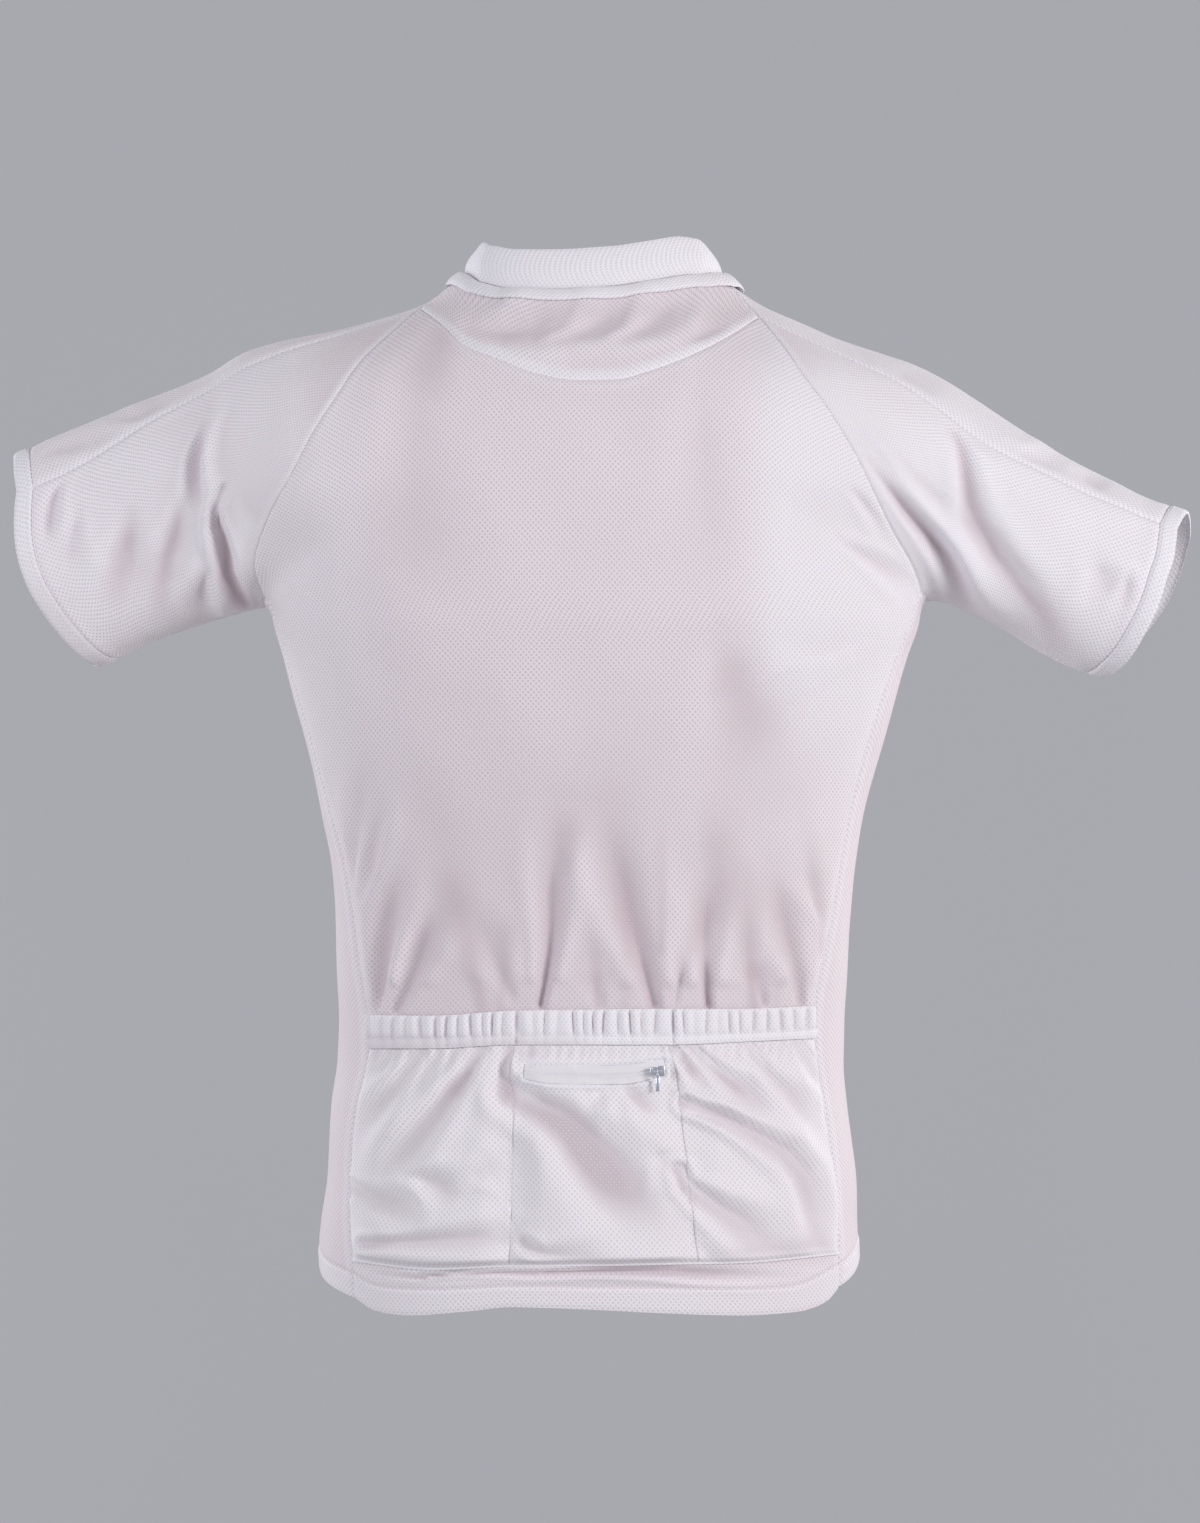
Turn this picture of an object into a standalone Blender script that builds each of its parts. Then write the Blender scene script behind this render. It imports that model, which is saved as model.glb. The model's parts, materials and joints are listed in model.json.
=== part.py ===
"""Short-sleeved cycling jersey with raglan sleeves, a stand collar and three back pockets.

It is filled out as if worn, with nobody inside. +Z is up, +Y is the way the wearer faces and +X is
the wearer's right. The origin is at the base of the neck. Tables and sizes are in millimetres.

The body and the two sleeves are one smooth form. Each panel is a patch stretched over that form
between its own seam lines, with a wall of one layer of cloth inside it. Seams that show from behind
are drawn flat, as (across, height) points on the sheet y = 0, and carried on to the form along the
lines of sight from a point well behind the garment.
"""

import math

import bmesh
import bpy
import numpy as np
from mathutils import Matrix

MM = 0.001
OBJECT_NAME = "cycling_jersey"

# Cloth and seams
CLOTH = 1.2  # wall of one layer of knit
SEAM_GAP = 0.3  # between the panels at a seam
LAYER_GAP = 0.5  # under a piece that lies on another
HEM_FOLD = 2.2  # wall where the cloth is turned up
HEM_DEPTH = 16.0
TAPE_ROLL = 2.4  # wall of the tape at its middle
COLLAR_WALL = 2.2
CUFF_DEPTH = 12.0
CUFF_WALL = 1.7
STRIP_AT_NECK = 27.0  # length of the shoulder strip's end on the neckline
STRIP_AT_APEX = 52.0  # its width where the raglan seams meet it
STRIP_WIDTH = 68.0  # and along the sleeve
ZIP_HALF = 2.6  # half width of the front zip between the fronts

# Pockets
BAND_ROLL = 2.0  # how far the gathered tunnel stands out
GATHERS = 38
GATHER_DEPTH = 1.6
POCKET_FULLNESS = 4.5
POCKET_SAG = 4.2  # how far the pockets bag over the hem
ZIP_TAPE = 0.8
ZIP_COIL = 1.7

# Where the flat drawing is looked at from
SIGHT_DISTANCE = 3000.0
SIGHT_ACROSS = 4.0
SIGHT_HEIGHT = -327.0

# Segments along each kind of edge
N_ACROSS = 24  # across the back
N_NECK = 4  # neckline to the top of the raglan seam
N_RAGLAN = 8
N_ARMPIT = 3  # from each body seam to the underarm seam
N_SLEEVE = 12  # along a sleeve
N_RIDGE = 3  # across a shoulder strip
N_FRONT = 6  # across each front
N_WAIST = 9  # armpit to the pocket band
N_POCKET = 5  # pocket band to the pocket bottom
N_HEM = 2

# Body: height, half width, centre across, depth behind, depth in front
TORSO = (
    (43.5, 74, -1, 44, 44),
    (18.5, 78, -1, 51, 48),
    (9.5, 82, -1, 54, 49),
    (2.5, 89, -1, 57, 50),
    (-1, 93, -1, 58, 51),
    (-13.5, 105, 1, 66, 52),
    (-30, 137, 0.5, 80, 56),
    (-56.5, 175, 0.5, 98, 66),
    (-93.5, 203.5, 0.5, 112, 84),
    (-140, 215.5, 0.5, 117, 100),
    (-180, 219, 1.5, 117, 108),
    (-220, 215.5, 1.5, 116, 112),
    (-246.5, 207.5, 1, 113, 112),
    (-273.5, 200, 0.5, 110, 111),
    (-300, 192.5, 0, 107, 109),
    (-326.5, 185.5, -0.5, 104, 107),
    (-353.5, 179.5, -1, 101, 105),
    (-380, 175, -0.5, 98, 103),
    (-406.5, 172.5, -0.5, 96, 101),
    (-433.5, 170.5, -1, 95, 100),
    (-460, 169.5, -1.5, 95, 99),
    (-486.5, 168.5, -2, 96, 99),
    (-513.5, 168.5, -2.5, 99, 99),
    (-540, 171, -3, 103, 100),
    (-566.5, 173.5, -2.5, 107, 101),
    (-593.5, 176, -1.5, 110, 102),
    (-620, 178.5, -2.5, 112, 103),
    (-636.5, 179.5, -3, 112, 103),
    (-673.5, 178, -3, 111, 103),
    (-700, 176, -3, 110, 102),
)

# Sleeves: across, top, bottom, centre in depth, half depth
SLEEVE = {
    "left": (
        (-400.5, -112, -277, 34, 42),
        (-380, -104, -269, 30, 42),
        (-363.5, -97, -262, 27, 42),
        (-322, -80.5, -246, 20, 44),
        (-289.5, -68.5, -232, 14, 48),
        (-256.5, -55.5, -221, 8, 54),
        (-232.5, -42, -214.5, 4, 61),
        (-216, -36.5, -210.5, 2, 65),
        (-196, -32, -206.5, 0, 69),
        (-169.5, -27.5, -200, 0, 72),
        (-140, -20, -186.5, 0, 70),
        (-105.5, -9, -166.5, 0, 60),
        (-82.5, 2, -140, 0, 50),
    ),
    "right": (
        (82.5, 2, -140, 0, 50),
        (96, -6, -160, 0, 58),
        (111.5, -14, -173.5, 0, 64),
        (131.5, -22, -186.5, 0, 69),
        (157.5, -32.5, -194.5, 0, 72),
        (188, -42, -201.5, 0, 72),
        (216, -51.5, -205.5, 0, 67),
        (233.5, -60.5, -208.5, 0, 63),
        (252, -72.5, -216.5, 0, 59),
        (276, -88.5, -228.5, -1, 56),
        (300, -103.5, -243.5, -2, 54),
        (323.5, -117.5, -254, -3, 52),
        (347.5, -129.5, -260, -4, 51),
        (363.5, -137.5, -268, -5, 50),
        (395, -149, -283.5, -6, 50),
    ),
}

# Where the back of each shoulder strip meets the neckline: across, depth, height
NECK_POINT = {"left": (-84, -17, 8), "right": (83, -17, 8)}

# Seams as drawn from behind: (across, height)
NECKLINE = ((-76, 4.5), (-56.5, 0.5), (-26, 0), (12.5, 2), (40, 6), (64.5, 9.5), (72, 9.5))
YOKE_SEAM = (
    (-115.5, -12.5), (-102, -22.5), (-87.5, -36), (-64.5, -45.5), (-38.5, -55.5), (-12.5, -60),
    (16, -59.5), (32, -55.5), (64.5, -43.5), (88.5, -31.5), (110, -18),
)
STRIP_NECK = {
    "left": ((-96.5, 2), (-108, -6.5), (-115.5, -12.5)),
    "right": ((96, -2.5), (105.5, -13), (110, -18)),
}
STRIP_SEAM = {
    "left": (
        (-115.5, -12.5), (-129.5, -17.5), (-146, -22), (-176.5, -33.5), (-212, -44.5),
        (-238, -56), (-258, -67.5), (-288.5, -82.5), (-319.5, -103.5), (-352.5, -124),
        (-374, -131.5),
    ),
    "right": (
        (110, -18), (116, -20.5), (131.5, -29.5), (157.5, -40.5), (182.5, -52), (208, -65.5),
        (228.5, -78), (246.5, -93.5), (272, -108.5), (302.5, -122.5), (336, -138),
        (377.5, -155.5),
    ),
}
RAGLAN_SEAM = {
    "left": (
        (-115.5, -12.5), (-130, -24), (-150, -41.5), (-168.5, -66), (-183.5, -88.5),
        (-206.5, -132), (-218, -154), (-225.5, -172.5), (-226.5, -183), (-220, -205.5),
    ),
    "right": (
        (110, -18), (124, -34.5), (147.5, -68), (162.5, -88.5), (179.5, -120), (193.5, -149.5),
        (209.5, -180), (217.5, -191.5), (218.5, -201.5),
    ),
}
# The side seam in four lengths: to the band, to the pocket bottom, to the hem stitching, to the edge
SIDE_SEAM = {
    "left": (
        (
            (-220, -205.5), (-214, -223.5), (-206, -244.5), (-196.5, -268), (-187.5, -308.5),
            (-178, -340), (-170.5, -364.5), (-166.5, -385.5), (-161.5, -416), (-156.5, -456.5),
            (-151.5, -483.5),
        ),
        (
            (-151.5, -483.5), (-149.5, -506.5), (-156, -533.5), (-160, -553.5), (-162, -573.5),
            (-163.5, -603.5), (-163.5, -628.5), (-161.5, -646),
        ),
        ((-161.5, -646), (-160.5, -655.5)),
        ((-160.5, -655.5), (-159.5, -672)),
    ),
    "right": (
        (
            (218.5, -201.5), (213.5, -210.5), (203.5, -238.5), (194, -269.5), (186.5, -286),
            (176.5, -326.5), (167.5, -370), (160, -416), (152, -454), (147.5, -477.5),
        ),
        (
            (147.5, -477.5), (147.5, -504), (152.5, -536.5), (159.5, -582.5), (162.5, -618.5),
            (163.5, -641.5),
        ),
        ((163.5, -641.5), (163.5, -650)),
        ((163.5, -650), (163.5, -664.5)),
    ),
}
BAND_LINE = (
    (-151.5, -483.5), (-107.5, -484), (-51.5, -480.5), (-5.5, -480), (50.5, -479.5),
    (96.5, -479.5), (147.5, -477.5),
)
TUNNEL_LINE = ((-149.5, -500), (-107.5, -500), (-51.5, -498), (50.5, -498), (96.5, -496.5), (147, -493.5))
LOWER_BAND_LINE = (
    (-149, -506.5), (-107.5, -506.5), (-51.5, -504), (50.5, -504), (96.5, -502), (147, -499.5),
)
POCKET_BOTTOM = (
    (-161.5, -646), (-107.5, -652), (-56, -650), (-5.5, -649.5), (46, -648.5), (96.5, -647.5),
    (163.5, -641.5),
)
STITCH_LINE = (
    (-160.5, -655.5), (-142.5, -664.5), (-107.5, -666.5), (-56, -664.5), (20, -665.5),
    (96.5, -666), (130, -664.5), (163.5, -650),
)
HEM_LINE = (
    (-159.5, -672), (-145, -681), (-122.5, -684), (-86.5, -681.5), (-56, -678.5), (-5, -680),
    (46, -682.5), (96.5, -684), (135.5, -681.5), (155, -674.5), (163.5, -664.5),
)
POCKET_SIDE = {
    "left": (
        (-149, -506.5), (-155, -533.5), (-159, -553.5), (-161, -573.5), (-162, -603.5),
        (-162, -628.5), (-160, -646),
    ),
    "right": (
        (147, -499.5), (151.5, -536.5), (158.5, -582.5), (161.5, -618.5), (162, -641.5),
    ),
}
DIVIDER = {
    "left": ((-53.5, -504), (-55.5, -526.5), (-53, -538.5), (-54, -593.5), (-56, -650)),
    "right": ((49.5, -504), (54.5, -523.5), (57.5, -553.5), (64, -606.5), (68.5, -648)),
}
CUFF_SEAM = {
    "left": (
        (-374, -131.5), (-374, -156.5), (-372, -174.5), (-362.5, -195.5), (-347.5, -220.5),
        (-332, -238.5),
    ),
    "right": (
        (377.5, -155.5), (374, -178.5), (368.5, -198.5), (357.5, -222), (344, -243.5),
        (336, -251),
    ),
}
CUFF_ENDS = {  # across: at the top and at the underarm
    "left": (-378, -319.5),
    "right": (384, 328),
}
CUFF_FRONT_REACH = {"left": 0.0, "right": 18.0}  # how much further the front of each sleeve goes
# The neckline over each shoulder and down to the zip: across, depth, height
NECK_FRONT = (
    (84, 10, 5), (80, 26, -5), (68, 42, -21), (45, 54, -40), (20, 61, -53), (2.9, 62, -57),
)
# Collar: angle round the neck from the back, height, how far its top leans in
COLLAR = (
    (0, 27, 4.5), (45, 25.7, 5), (62, 23, 7), (80, 18.5, 9.5), (100, 18.5, 10), (135, 22, 7),
    (180, 26, 4),
)
# Tape over the neck seam: angle round the neck from the back, width
TAPE = ((0, 10), (45, 10.5), (90, 17), (135, 12), (180, 10))
HEM_AT_SIDE = {"left": -651, "right": -645}
HEM_AT_FRONT_SEAM = -645
HEM_AT_FRONT = -622

# Folds: piece, half width, depth, line as drawn from behind
FOLDS = (
    ("back", 9, 3.6, ((-147.5, -481.5), (-144, -466.5), (-140.5, -440), (-134.5, -406.5), (-126, -366.5))),
    ("back", 9, 2.6, ((-132.5, -480), (-124, -463.5), (-116, -440), (-107.5, -406.5))),
    ("back", 12, 1.5, ((-56, -470), (-66, -450), (-76, -426.5), (-82.5, -400))),
    ("back", 10, 4.0, ((-36, -477.5), (-32.5, -460), (-29.5, -440), (-27.5, -393.5), (-26, -340))),
    ("back", 12, 4.2, ((40.5, -477.5), (36, -460), (24, -420), (9.5, -366.5), (4, -346.5))),
    ("back", 10, 3.6, ((76.5, -478.5), (74.5, -453.5), (74.5, -426.5), (78.5, -380))),
    ("back", 10, 3.6, ((139.5, -476), (135.5, -453.5), (129.5, -426.5), (121.5, -383.5))),
    ("back", 26, 2.2, ((94, -233.5), (100.5, -266.5), (117.5, -293.5), (137.5, -313.5))),
    ("back", 22, 1.6, ((85.5, -53.5), (90.5, -106.5), (93.5, -173.5), (96, -233.5))),
    ("yoke", 8, 1.6, ((-76, -22.5), (-49.5, -23.5), (-32.5, -18.5), (-17.5, -9.5))),
    ("yoke", 8, 1.8, ((-12.5, -26.5), (6, -17.5), (21.5, -6.5))),
    ("yoke", 8, 1.8, ((28, -25.5), (44, -14), (59.5, -3.5))),
    ("pocket", 7, 2.6, ((-158, -570), (-154.5, -556.5), (-136, -533.5), (-117.5, -508))),
    ("pocket", 7, 3.4, ((-139.5, -592), (-116, -563.5), (-89.5, -526.5), (-72, -504.5))),
    ("pocket", 8, 2.8, ((-161.5, -598.5), (-142.5, -608.5), (-126, -612), (-110.5, -616))),
    ("pocket", 8, 2.6, ((-121.5, -591.5), (-106, -595.5), (-92.5, -603.5), (-86.5, -608.5))),
    ("pocket", 7, 1.8, ((-137.5, -636), (-109.5, -633.5), (-56, -632), (-30.5, -642.5))),
    ("pocket", 17, 3.8, ((-17.5, -534.5), (-2.5, -560), (14, -583.5), (30.5, -603.5), (54, -622.5))),
    ("pocket", 7, 2.4, ((50.5, -506), (60.5, -516.5), (77.5, -536))),
    ("pocket", 7, 3.0, ((73.5, -506.5), (84, -520), (100.5, -533.5), (125.5, -554.5))),
    ("pocket", 7, 2.4, ((102.5, -508), (114, -523.5), (130.5, -540), (152, -568))),
    ("pocket", 8, 3.4, ((59.5, -539.5), (97.5, -556.5), (130.5, -583.5), (145.5, -616.5), (152, -633.5))),
    ("pocket", 8, 3.2, ((62.5, -588), (84, -612), (117.5, -633.5), (129.5, -642.5))),
    ("sleeve", 11, 5.5, ((-248, -65.5), (-258, -86.5), (-268.5, -123.5), (-262.5, -148))),
    ("sleeve", 12, 7.0, ((-246.5, -121.5), (-254, -160), (-250.5, -176.5), (-237.5, -201.5))),
    ("sleeve", 12, 3.5, ((-261.5, -196.5), (-262.5, -210), (-262.5, -225.5))),
    ("sleeve", 12, 2.4, ((-284.5, -156.5), (-287.5, -183.5), (-290.5, -214.5))),
    ("sleeve", 14, 2.4, ((-305.5, -140), (-314.5, -193.5), (-307.5, -230.5))),
    ("sleeve", 11, 7.0, ((182.5, -120), (210.5, -150), (234, -186.5), (262.5, -220))),
    ("sleeve", 11, 5.0, ((240, -85.5), (247.5, -110), (254.5, -146.5))),
    ("sleeve", 16, 3.6, ((252, -133.5), (264, -166.5), (280.5, -193.5), (313.5, -237.5))),
    ("sleeve", 12, 1.8, ((352, -170), (342.5, -183.5), (333.5, -220))),
)
# Which folds each panel carries on its back half
FOLDS_OF = {
    "back_panel": ("back",),
    "side_panel": ("back",),
    "back_yoke": ("yoke",),
    "sleeve": ("sleeve",),
}

# Zip of the middle pocket, as drawn from behind: across, top, bottom
POCKET_ZIP = (
    (-46, -516.5, -527), (-28, -517, -530.5), (0, -517.5, -531),
    (22, -516.5, -530.5), (36, -514.5, -527.5), (46.5, -513, -524.5),
)
SLIDER_AT = 41.0  # where along the zip the slider stands
SLIDER_LENGTH = 10.0
SLIDER_WIDTH = 7.0
PULL_LENGTH = 13.0
PULL_WIDTH = 4.4
PULL_WALL = 1.0
SLIDER_WALL = 1.6
SLIDER_CLEARANCE = 1.0
BAR_RADIUS = 0.6
LOOP_INNER = 0.9  # half the width of the square loop round the bar, inside and outside
LOOP_OUTER = 1.5
LOOP_WIDTH = 2.2
LOOP_CLEARANCE = 0.35  # between the turning loop's corners and the slider's plate
FRONT_SLIDER_HEIGHT = -37.0  # the front zip is closed, so its slider is at the collar


# ---------------------------------------------------------------- curves and the form


def ease(x, start, end):
    t = np.clip((x - start) / (end - start), 0.0, 1.0)
    return t * t * (3 - 2 * t)


def through(x, table, column):
    """A smooth curve through one column of a table, read at x (the table's first column)."""
    rows = np.array(sorted(table, key=lambda row: row[0]), float)
    at, value = rows[:, 0], rows[:, column]
    step = np.diff(at)
    slope = np.diff(value) / step
    tangent = np.zeros_like(value)
    tangent[0], tangent[-1] = slope[0], slope[-1]
    same = slope[:-1] * slope[1:] > 0
    first, second = 2 * step[1:] + step[:-1], step[1:] + 2 * step[:-1]
    with np.errstate(divide="ignore", invalid="ignore"):
        mean = (first + second) / (first / slope[:-1] + second / slope[1:])
    tangent[1:-1] = np.where(same, mean, 0.0)
    i = np.clip(np.searchsorted(at, x) - 1, 0, len(at) - 2)
    u = (x - at[i]) / step[i]
    c = np.clip(u, 0, 1)
    found = (2 * c**3 - 3 * c**2 + 1) * value[i] + (3 * c**2 - 2 * c**3) * value[i + 1]
    found += step[i] * ((c**3 - 2 * c**2 + c) * tangent[i] + (c**3 - c**2) * tangent[i + 1])
    return found + np.where(u > 1, (x - at[i + 1]) * tangent[i + 1], 0.0) + np.where(
        u < 0, (x - at[i]) * tangent[i], 0.0
    )


def oval(u, v, a, b, square):
    """Signed distance, near enough, from the oval (u/a)^square + (v/b)^square = 1."""
    u, v = np.abs(u) / a, np.abs(v) / b
    r = (u**square + v**square) ** (1 / square) + 1e-9
    steep = r ** (1 - square) * np.hypot(u ** (square - 1) / a, v ** (square - 1) / b)
    return (r - 1) / np.maximum(steep, 1 / 260)


def blend(a, b, reach):
    h = np.clip(0.5 + 0.5 * (b - a) / reach, 0, 1)
    return b * (1 - h) + a * h - reach * h * (1 - h)


def form(p):
    """Signed distance, near enough, from the filled-out garment; p is (..., 3)."""
    x, y, z = p[..., 0], p[..., 1], p[..., 2]
    depth = np.maximum(np.where(y < 0, through(z, TORSO, 3), through(z, TORSO, 4)), 5)
    wide = np.maximum(through(z, TORSO, 1), 5)
    found = oval(x - through(z, TORSO, 2), y, wide, depth, 2.25)
    reach = 10 + 44 * ease(z, -200, -130) - 34 * ease(z, -70, -20)
    for side, way in (("left", -1), ("right", 1)):
        top, bottom = through(x, SLEEVE[side], 1), through(x, SLEEVE[side], 2)
        tall = np.maximum((top - bottom) / 2, 5)
        deep = np.maximum(through(x, SLEEVE[side], 4), 5)
        tube = 0.93 * oval(z - (top + bottom) / 2, y - through(x, SLEEVE[side], 3), tall, deep, 2.1)
        found = blend(found, np.maximum(tube, 70 - way * x), reach)
    return found


def outward(p):
    """The form's unit normal at p, evened out over a few millimetres."""
    found = np.empty_like(p)
    for axis in range(3):
        step = np.zeros(3)
        step[axis] = 4.0
        found[..., axis] = form(p + step) - form(p - step)
    return found / np.linalg.norm(found, axis=-1, keepdims=True)


def settle(p, times=7, axes=(0, 1, 2)):
    """Points moved on to the form, along these axes only."""
    p = np.array(p, float)
    for _ in range(times):
        slope = np.zeros_like(p)
        for axis in axes:
            step = np.zeros(3)
            step[axis] = 0.25
            slope[..., axis] = (form(p + step) - form(p - step)) / 0.5
        size = np.maximum(np.sum(slope**2, axis=-1, keepdims=True), 0.05)
        p -= np.clip(form(p)[..., None] / size, -6, 6) * slope
    return p


def sighted(drawn, side=-1):
    """Drawn points (..., 2) carried on to the form from behind (side -1) or from in front (1)."""
    drawn = np.asarray(drawn, float)
    eye = np.array([SIGHT_ACROSS, side * SIGHT_DISTANCE, SIGHT_HEIGHT])
    aim = np.stack([drawn[..., 0], 0 * drawn[..., 0], drawn[..., 1]], axis=-1) - eye
    aim /= np.linalg.norm(aim, axis=-1, keepdims=True)
    far = (SIGHT_DISTANCE - 200) / np.abs(aim[..., 1])
    nearest, at = np.full(far.shape, 1e9), far.copy()
    done = np.zeros(far.shape, bool)
    for _ in range(90):
        gap = form(eye + aim * far[..., None])
        closer = (gap < nearest) & ~done
        nearest, at = np.where(closer, gap, nearest), np.where(closer, far, at)
        done |= gap < 0.02
        far = np.where(done, far, far + np.maximum(0.6 * gap, 0.05))
    return settle(eye + aim * at[..., None])


def even(points, count):
    """count + 1 points at equal lengths along a polyline."""
    points = np.asarray(points, float)
    length = np.concatenate([[0], np.cumsum(np.linalg.norm(np.diff(points, axis=0), axis=1))])
    at = np.linspace(0, length[-1], count + 1)
    return np.stack([np.interp(at, length, points[:, k]) for k in range(points.shape[1])], axis=1)


def curve(points, count=120):
    """A smooth curve through a few points, as count + 1 even points."""
    points = np.asarray(points, float)
    length = np.concatenate([[0], np.cumsum(np.linalg.norm(np.diff(points, axis=0), axis=1))])
    table = np.column_stack([length, points])
    at = np.linspace(0, length[-1], 240)
    fine = np.stack([through(at, table, k + 1) for k in range(points.shape[1])], axis=1)
    return even(fine, count)


def seam(drawn, count, side=-1):
    """A drawn line on the form, as count + 1 even points."""
    return settle(even(sighted(curve(drawn), side), count))


def steadied(drawn, count, first=None, rounds=200):
    """A seam near the edge of the view, from a stated first point if there is one."""
    points = sighted(curve(drawn))
    if first is not None:
        points = even(np.vstack([first, points]), 120)
    return settle(even(calm(points, rounds), count))


def calm(points, rounds):
    """A line's depths smoothed where it runs along the edge of the view and they can't be read."""
    points = points.copy()
    for _ in range(rounds):
        points[1:-1, 1] += 0.25 * (points[:-2, 1] + points[2:, 1] - 2 * points[1:-1, 1])
    return settle(points, 7, (0, 2))


def over(points, count):
    """A curve through a few points near the form, laid on the form."""
    return settle(even(settle(curve(points)), count))


def join(*lines):
    """Lines end to end, each starting where the last one stopped."""
    return np.concatenate([lines[0]] + [line[1:] for line in lines[1:]])


def patch(top, bottom, left, right):
    """A grid of points on the form between four edges: top and bottom run from left to right."""
    rows, columns = len(left) - 1, len(top) - 1
    v = np.linspace(0, 1, rows + 1)[:, None, None]
    u = np.linspace(0, 1, columns + 1)[None, :, None]
    grid = (1 - v) * top[None] + v * bottom[None] + (1 - u) * left[:, None] + u * right[:, None]
    grid -= (1 - u) * (1 - v) * top[0] + u * (1 - v) * top[-1]
    grid -= (1 - u) * v * bottom[0] + u * v * bottom[-1]
    for _ in range(3):
        inner = grid[1:-1, 1:-1]
        inner[:] = settle(inner, 3)
        around = grid[:-2, 1:-1] + grid[2:, 1:-1] + grid[1:-1, :-2] + grid[1:-1, 2:]
        inner += 0.5 * (around / 4 - inner)
    grid[1:-1, 1:-1] = settle(grid[1:-1, 1:-1])
    return grid


def stack(*grids):
    return np.concatenate([grids[0]] + [grid[1:] for grid in grids[1:]], axis=0)


# ---------------------------------------------------------------- folds


def drawn_place(p):
    """Where a point shows on the flat drawing, looked at from behind."""
    scale = SIGHT_DISTANCE / (SIGHT_DISTANCE + p[..., 1])
    return np.stack(
        [
            SIGHT_ACROSS + (p[..., 0] - SIGHT_ACROSS) * scale,
            SIGHT_HEIGHT + (p[..., 2] - SIGHT_HEIGHT) * scale,
        ],
        axis=-1,
    )


def along(place, line):
    """Distance from a drawn line, and how far along it from 0 to 1."""
    line = np.asarray(line, float)
    length = np.concatenate([[0], np.cumsum(np.linalg.norm(np.diff(line, axis=0), axis=1))])
    near = np.full(place.shape[:-1], 1e9)
    where = np.zeros(place.shape[:-1])
    for i, (a, b) in enumerate(zip(line[:-1], line[1:])):
        step = b - a
        t = np.clip(((place - a) @ step) / (step @ step), 0, 1)
        gap = np.linalg.norm(place - a - t[..., None] * step, axis=-1)
        closer = gap < near
        near = np.where(closer, gap, near)
        where = np.where(closer, (length[i] + t * (length[i + 1] - length[i])) / length[-1], where)
    return near, where


def folds(p, normal, kinds):
    """How far the folds of these kinds lift each point of the form, most of them being troughs."""
    place = drawn_place(p)
    found = np.zeros(p.shape[:-1])
    for kind, half, depth, line in FOLDS:
        if kind not in kinds:
            continue
        gap, where = along(place, line)
        from_band = line[0][1] < -440 and kind == "back" or kind == "pocket" and line[0][1] > -510
        start = 1.0 if from_band else ease(where, 0.0, 0.3)
        strength = depth * (0.15 + 0.85 * start) * (0.1 + 0.9 * ease(1 - where, 0.0, 0.45))
        trough = np.exp(-((gap / half) ** 2))
        ridge = np.exp(-(((gap - 2.1 * half) / (1.1 * half)) ** 2))
        found += strength * (0.3 * ridge - trough)
    facing = ease(-normal[..., 1], 0.0, 0.35)
    if "back" in kinds:
        below_band = ease(place[..., 1], -486, -477)
        found = np.where(place[..., 1] < -462, np.minimum(found, 0.0), found) * below_band
    return found * facing


# ---------------------------------------------------------------- panels


def cloth_material(name, colour, roughness):
    material = bpy.data.materials.new(name)
    material.use_nodes = True
    shader = material.node_tree.nodes["Principled BSDF"]
    shader.inputs["Base Color"].default_value = (*colour, 1)
    shader.inputs["Roughness"].default_value = roughness
    shader.inputs["Sheen Weight"].default_value = 0.2
    material.diffuse_color = (*colour, 1)
    return material


def metal_material(name):
    material = cloth_material(name, (0.72, 0.73, 0.75), 0.25)
    shader = material.node_tree.nodes["Principled BSDF"]
    shader.inputs["Metallic"].default_value = 1
    shader.inputs["Sheen Weight"].default_value = 0
    return material


def drawn_in(outer, base):
    """A grid with its four edges drawn in by half a seam gap, along the cloth."""
    moved = outer.copy()
    for edge, inside in (
        ((slice(None), 0), (slice(None), 1)),
        ((slice(None), -1), (slice(None), -2)),
        ((0, slice(None)), (1, slice(None))),
        ((-1, slice(None)), (-2, slice(None))),
    ):
        way = base[inside] - base[edge]
        moved[edge] += SEAM_GAP / 2 * way / np.linalg.norm(way, axis=-1, keepdims=True)
    return moved


def sheet_object(name, outer, inner, material):
    """A grid of cloth: Blender's own grid, extruded once, with its two skins put in place."""
    rows, columns = outer.shape[0] - 1, outer.shape[1] - 1
    body = bmesh.new()
    bmesh.ops.create_grid(body, x_segments=columns, y_segments=rows, size=0.5)
    place = body.verts.layers.int.new("place")
    skins = [inner.reshape(-1, 3) * MM, outer.reshape(-1, 3) * MM]
    for vert in body.verts:
        column = round((vert.co.x + 0.5) * columns)
        row = round((0.5 - vert.co.y) * rows)
        vert[place] = row * (columns + 1) + column
    made = bmesh.ops.extrude_face_region(body, geom=body.faces[:], use_keep_orig=True)
    raised = {item for item in made["geom"] if isinstance(item, bmesh.types.BMVert)}
    for vert in body.verts:
        vert.co = skins[vert in raised][vert[place]]
    body.verts.layers.int.remove(place)
    bmesh.ops.recalc_face_normals(body, faces=body.faces[:])
    if body.calc_volume(signed=True) < 0:
        bmesh.ops.reverse_faces(body, faces=body.faces[:])
    return finished(name, body, material)


def finished(name, body, material, smooth=True):
    mesh = bpy.data.meshes.new(name)
    body.to_mesh(mesh)
    body.free()
    if smooth:
        mesh.shade_smooth()
    mesh.materials.append(material)
    thing = bpy.data.objects.new(name, mesh)
    bpy.data.collections[OBJECT_NAME].objects.link(thing)
    return thing


def near_edge(shape):
    """0 on the edges of a grid of points and 1 from its third row in, to end the folds gently."""
    rows, columns = np.arange(shape[0]), np.arange(shape[1])
    from_row = ease(np.minimum(rows, rows[::-1]), 0, 2)
    from_column = ease(np.minimum(columns, columns[::-1]), 0, 2)
    return from_row[:, None] * from_column[None, :]


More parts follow.
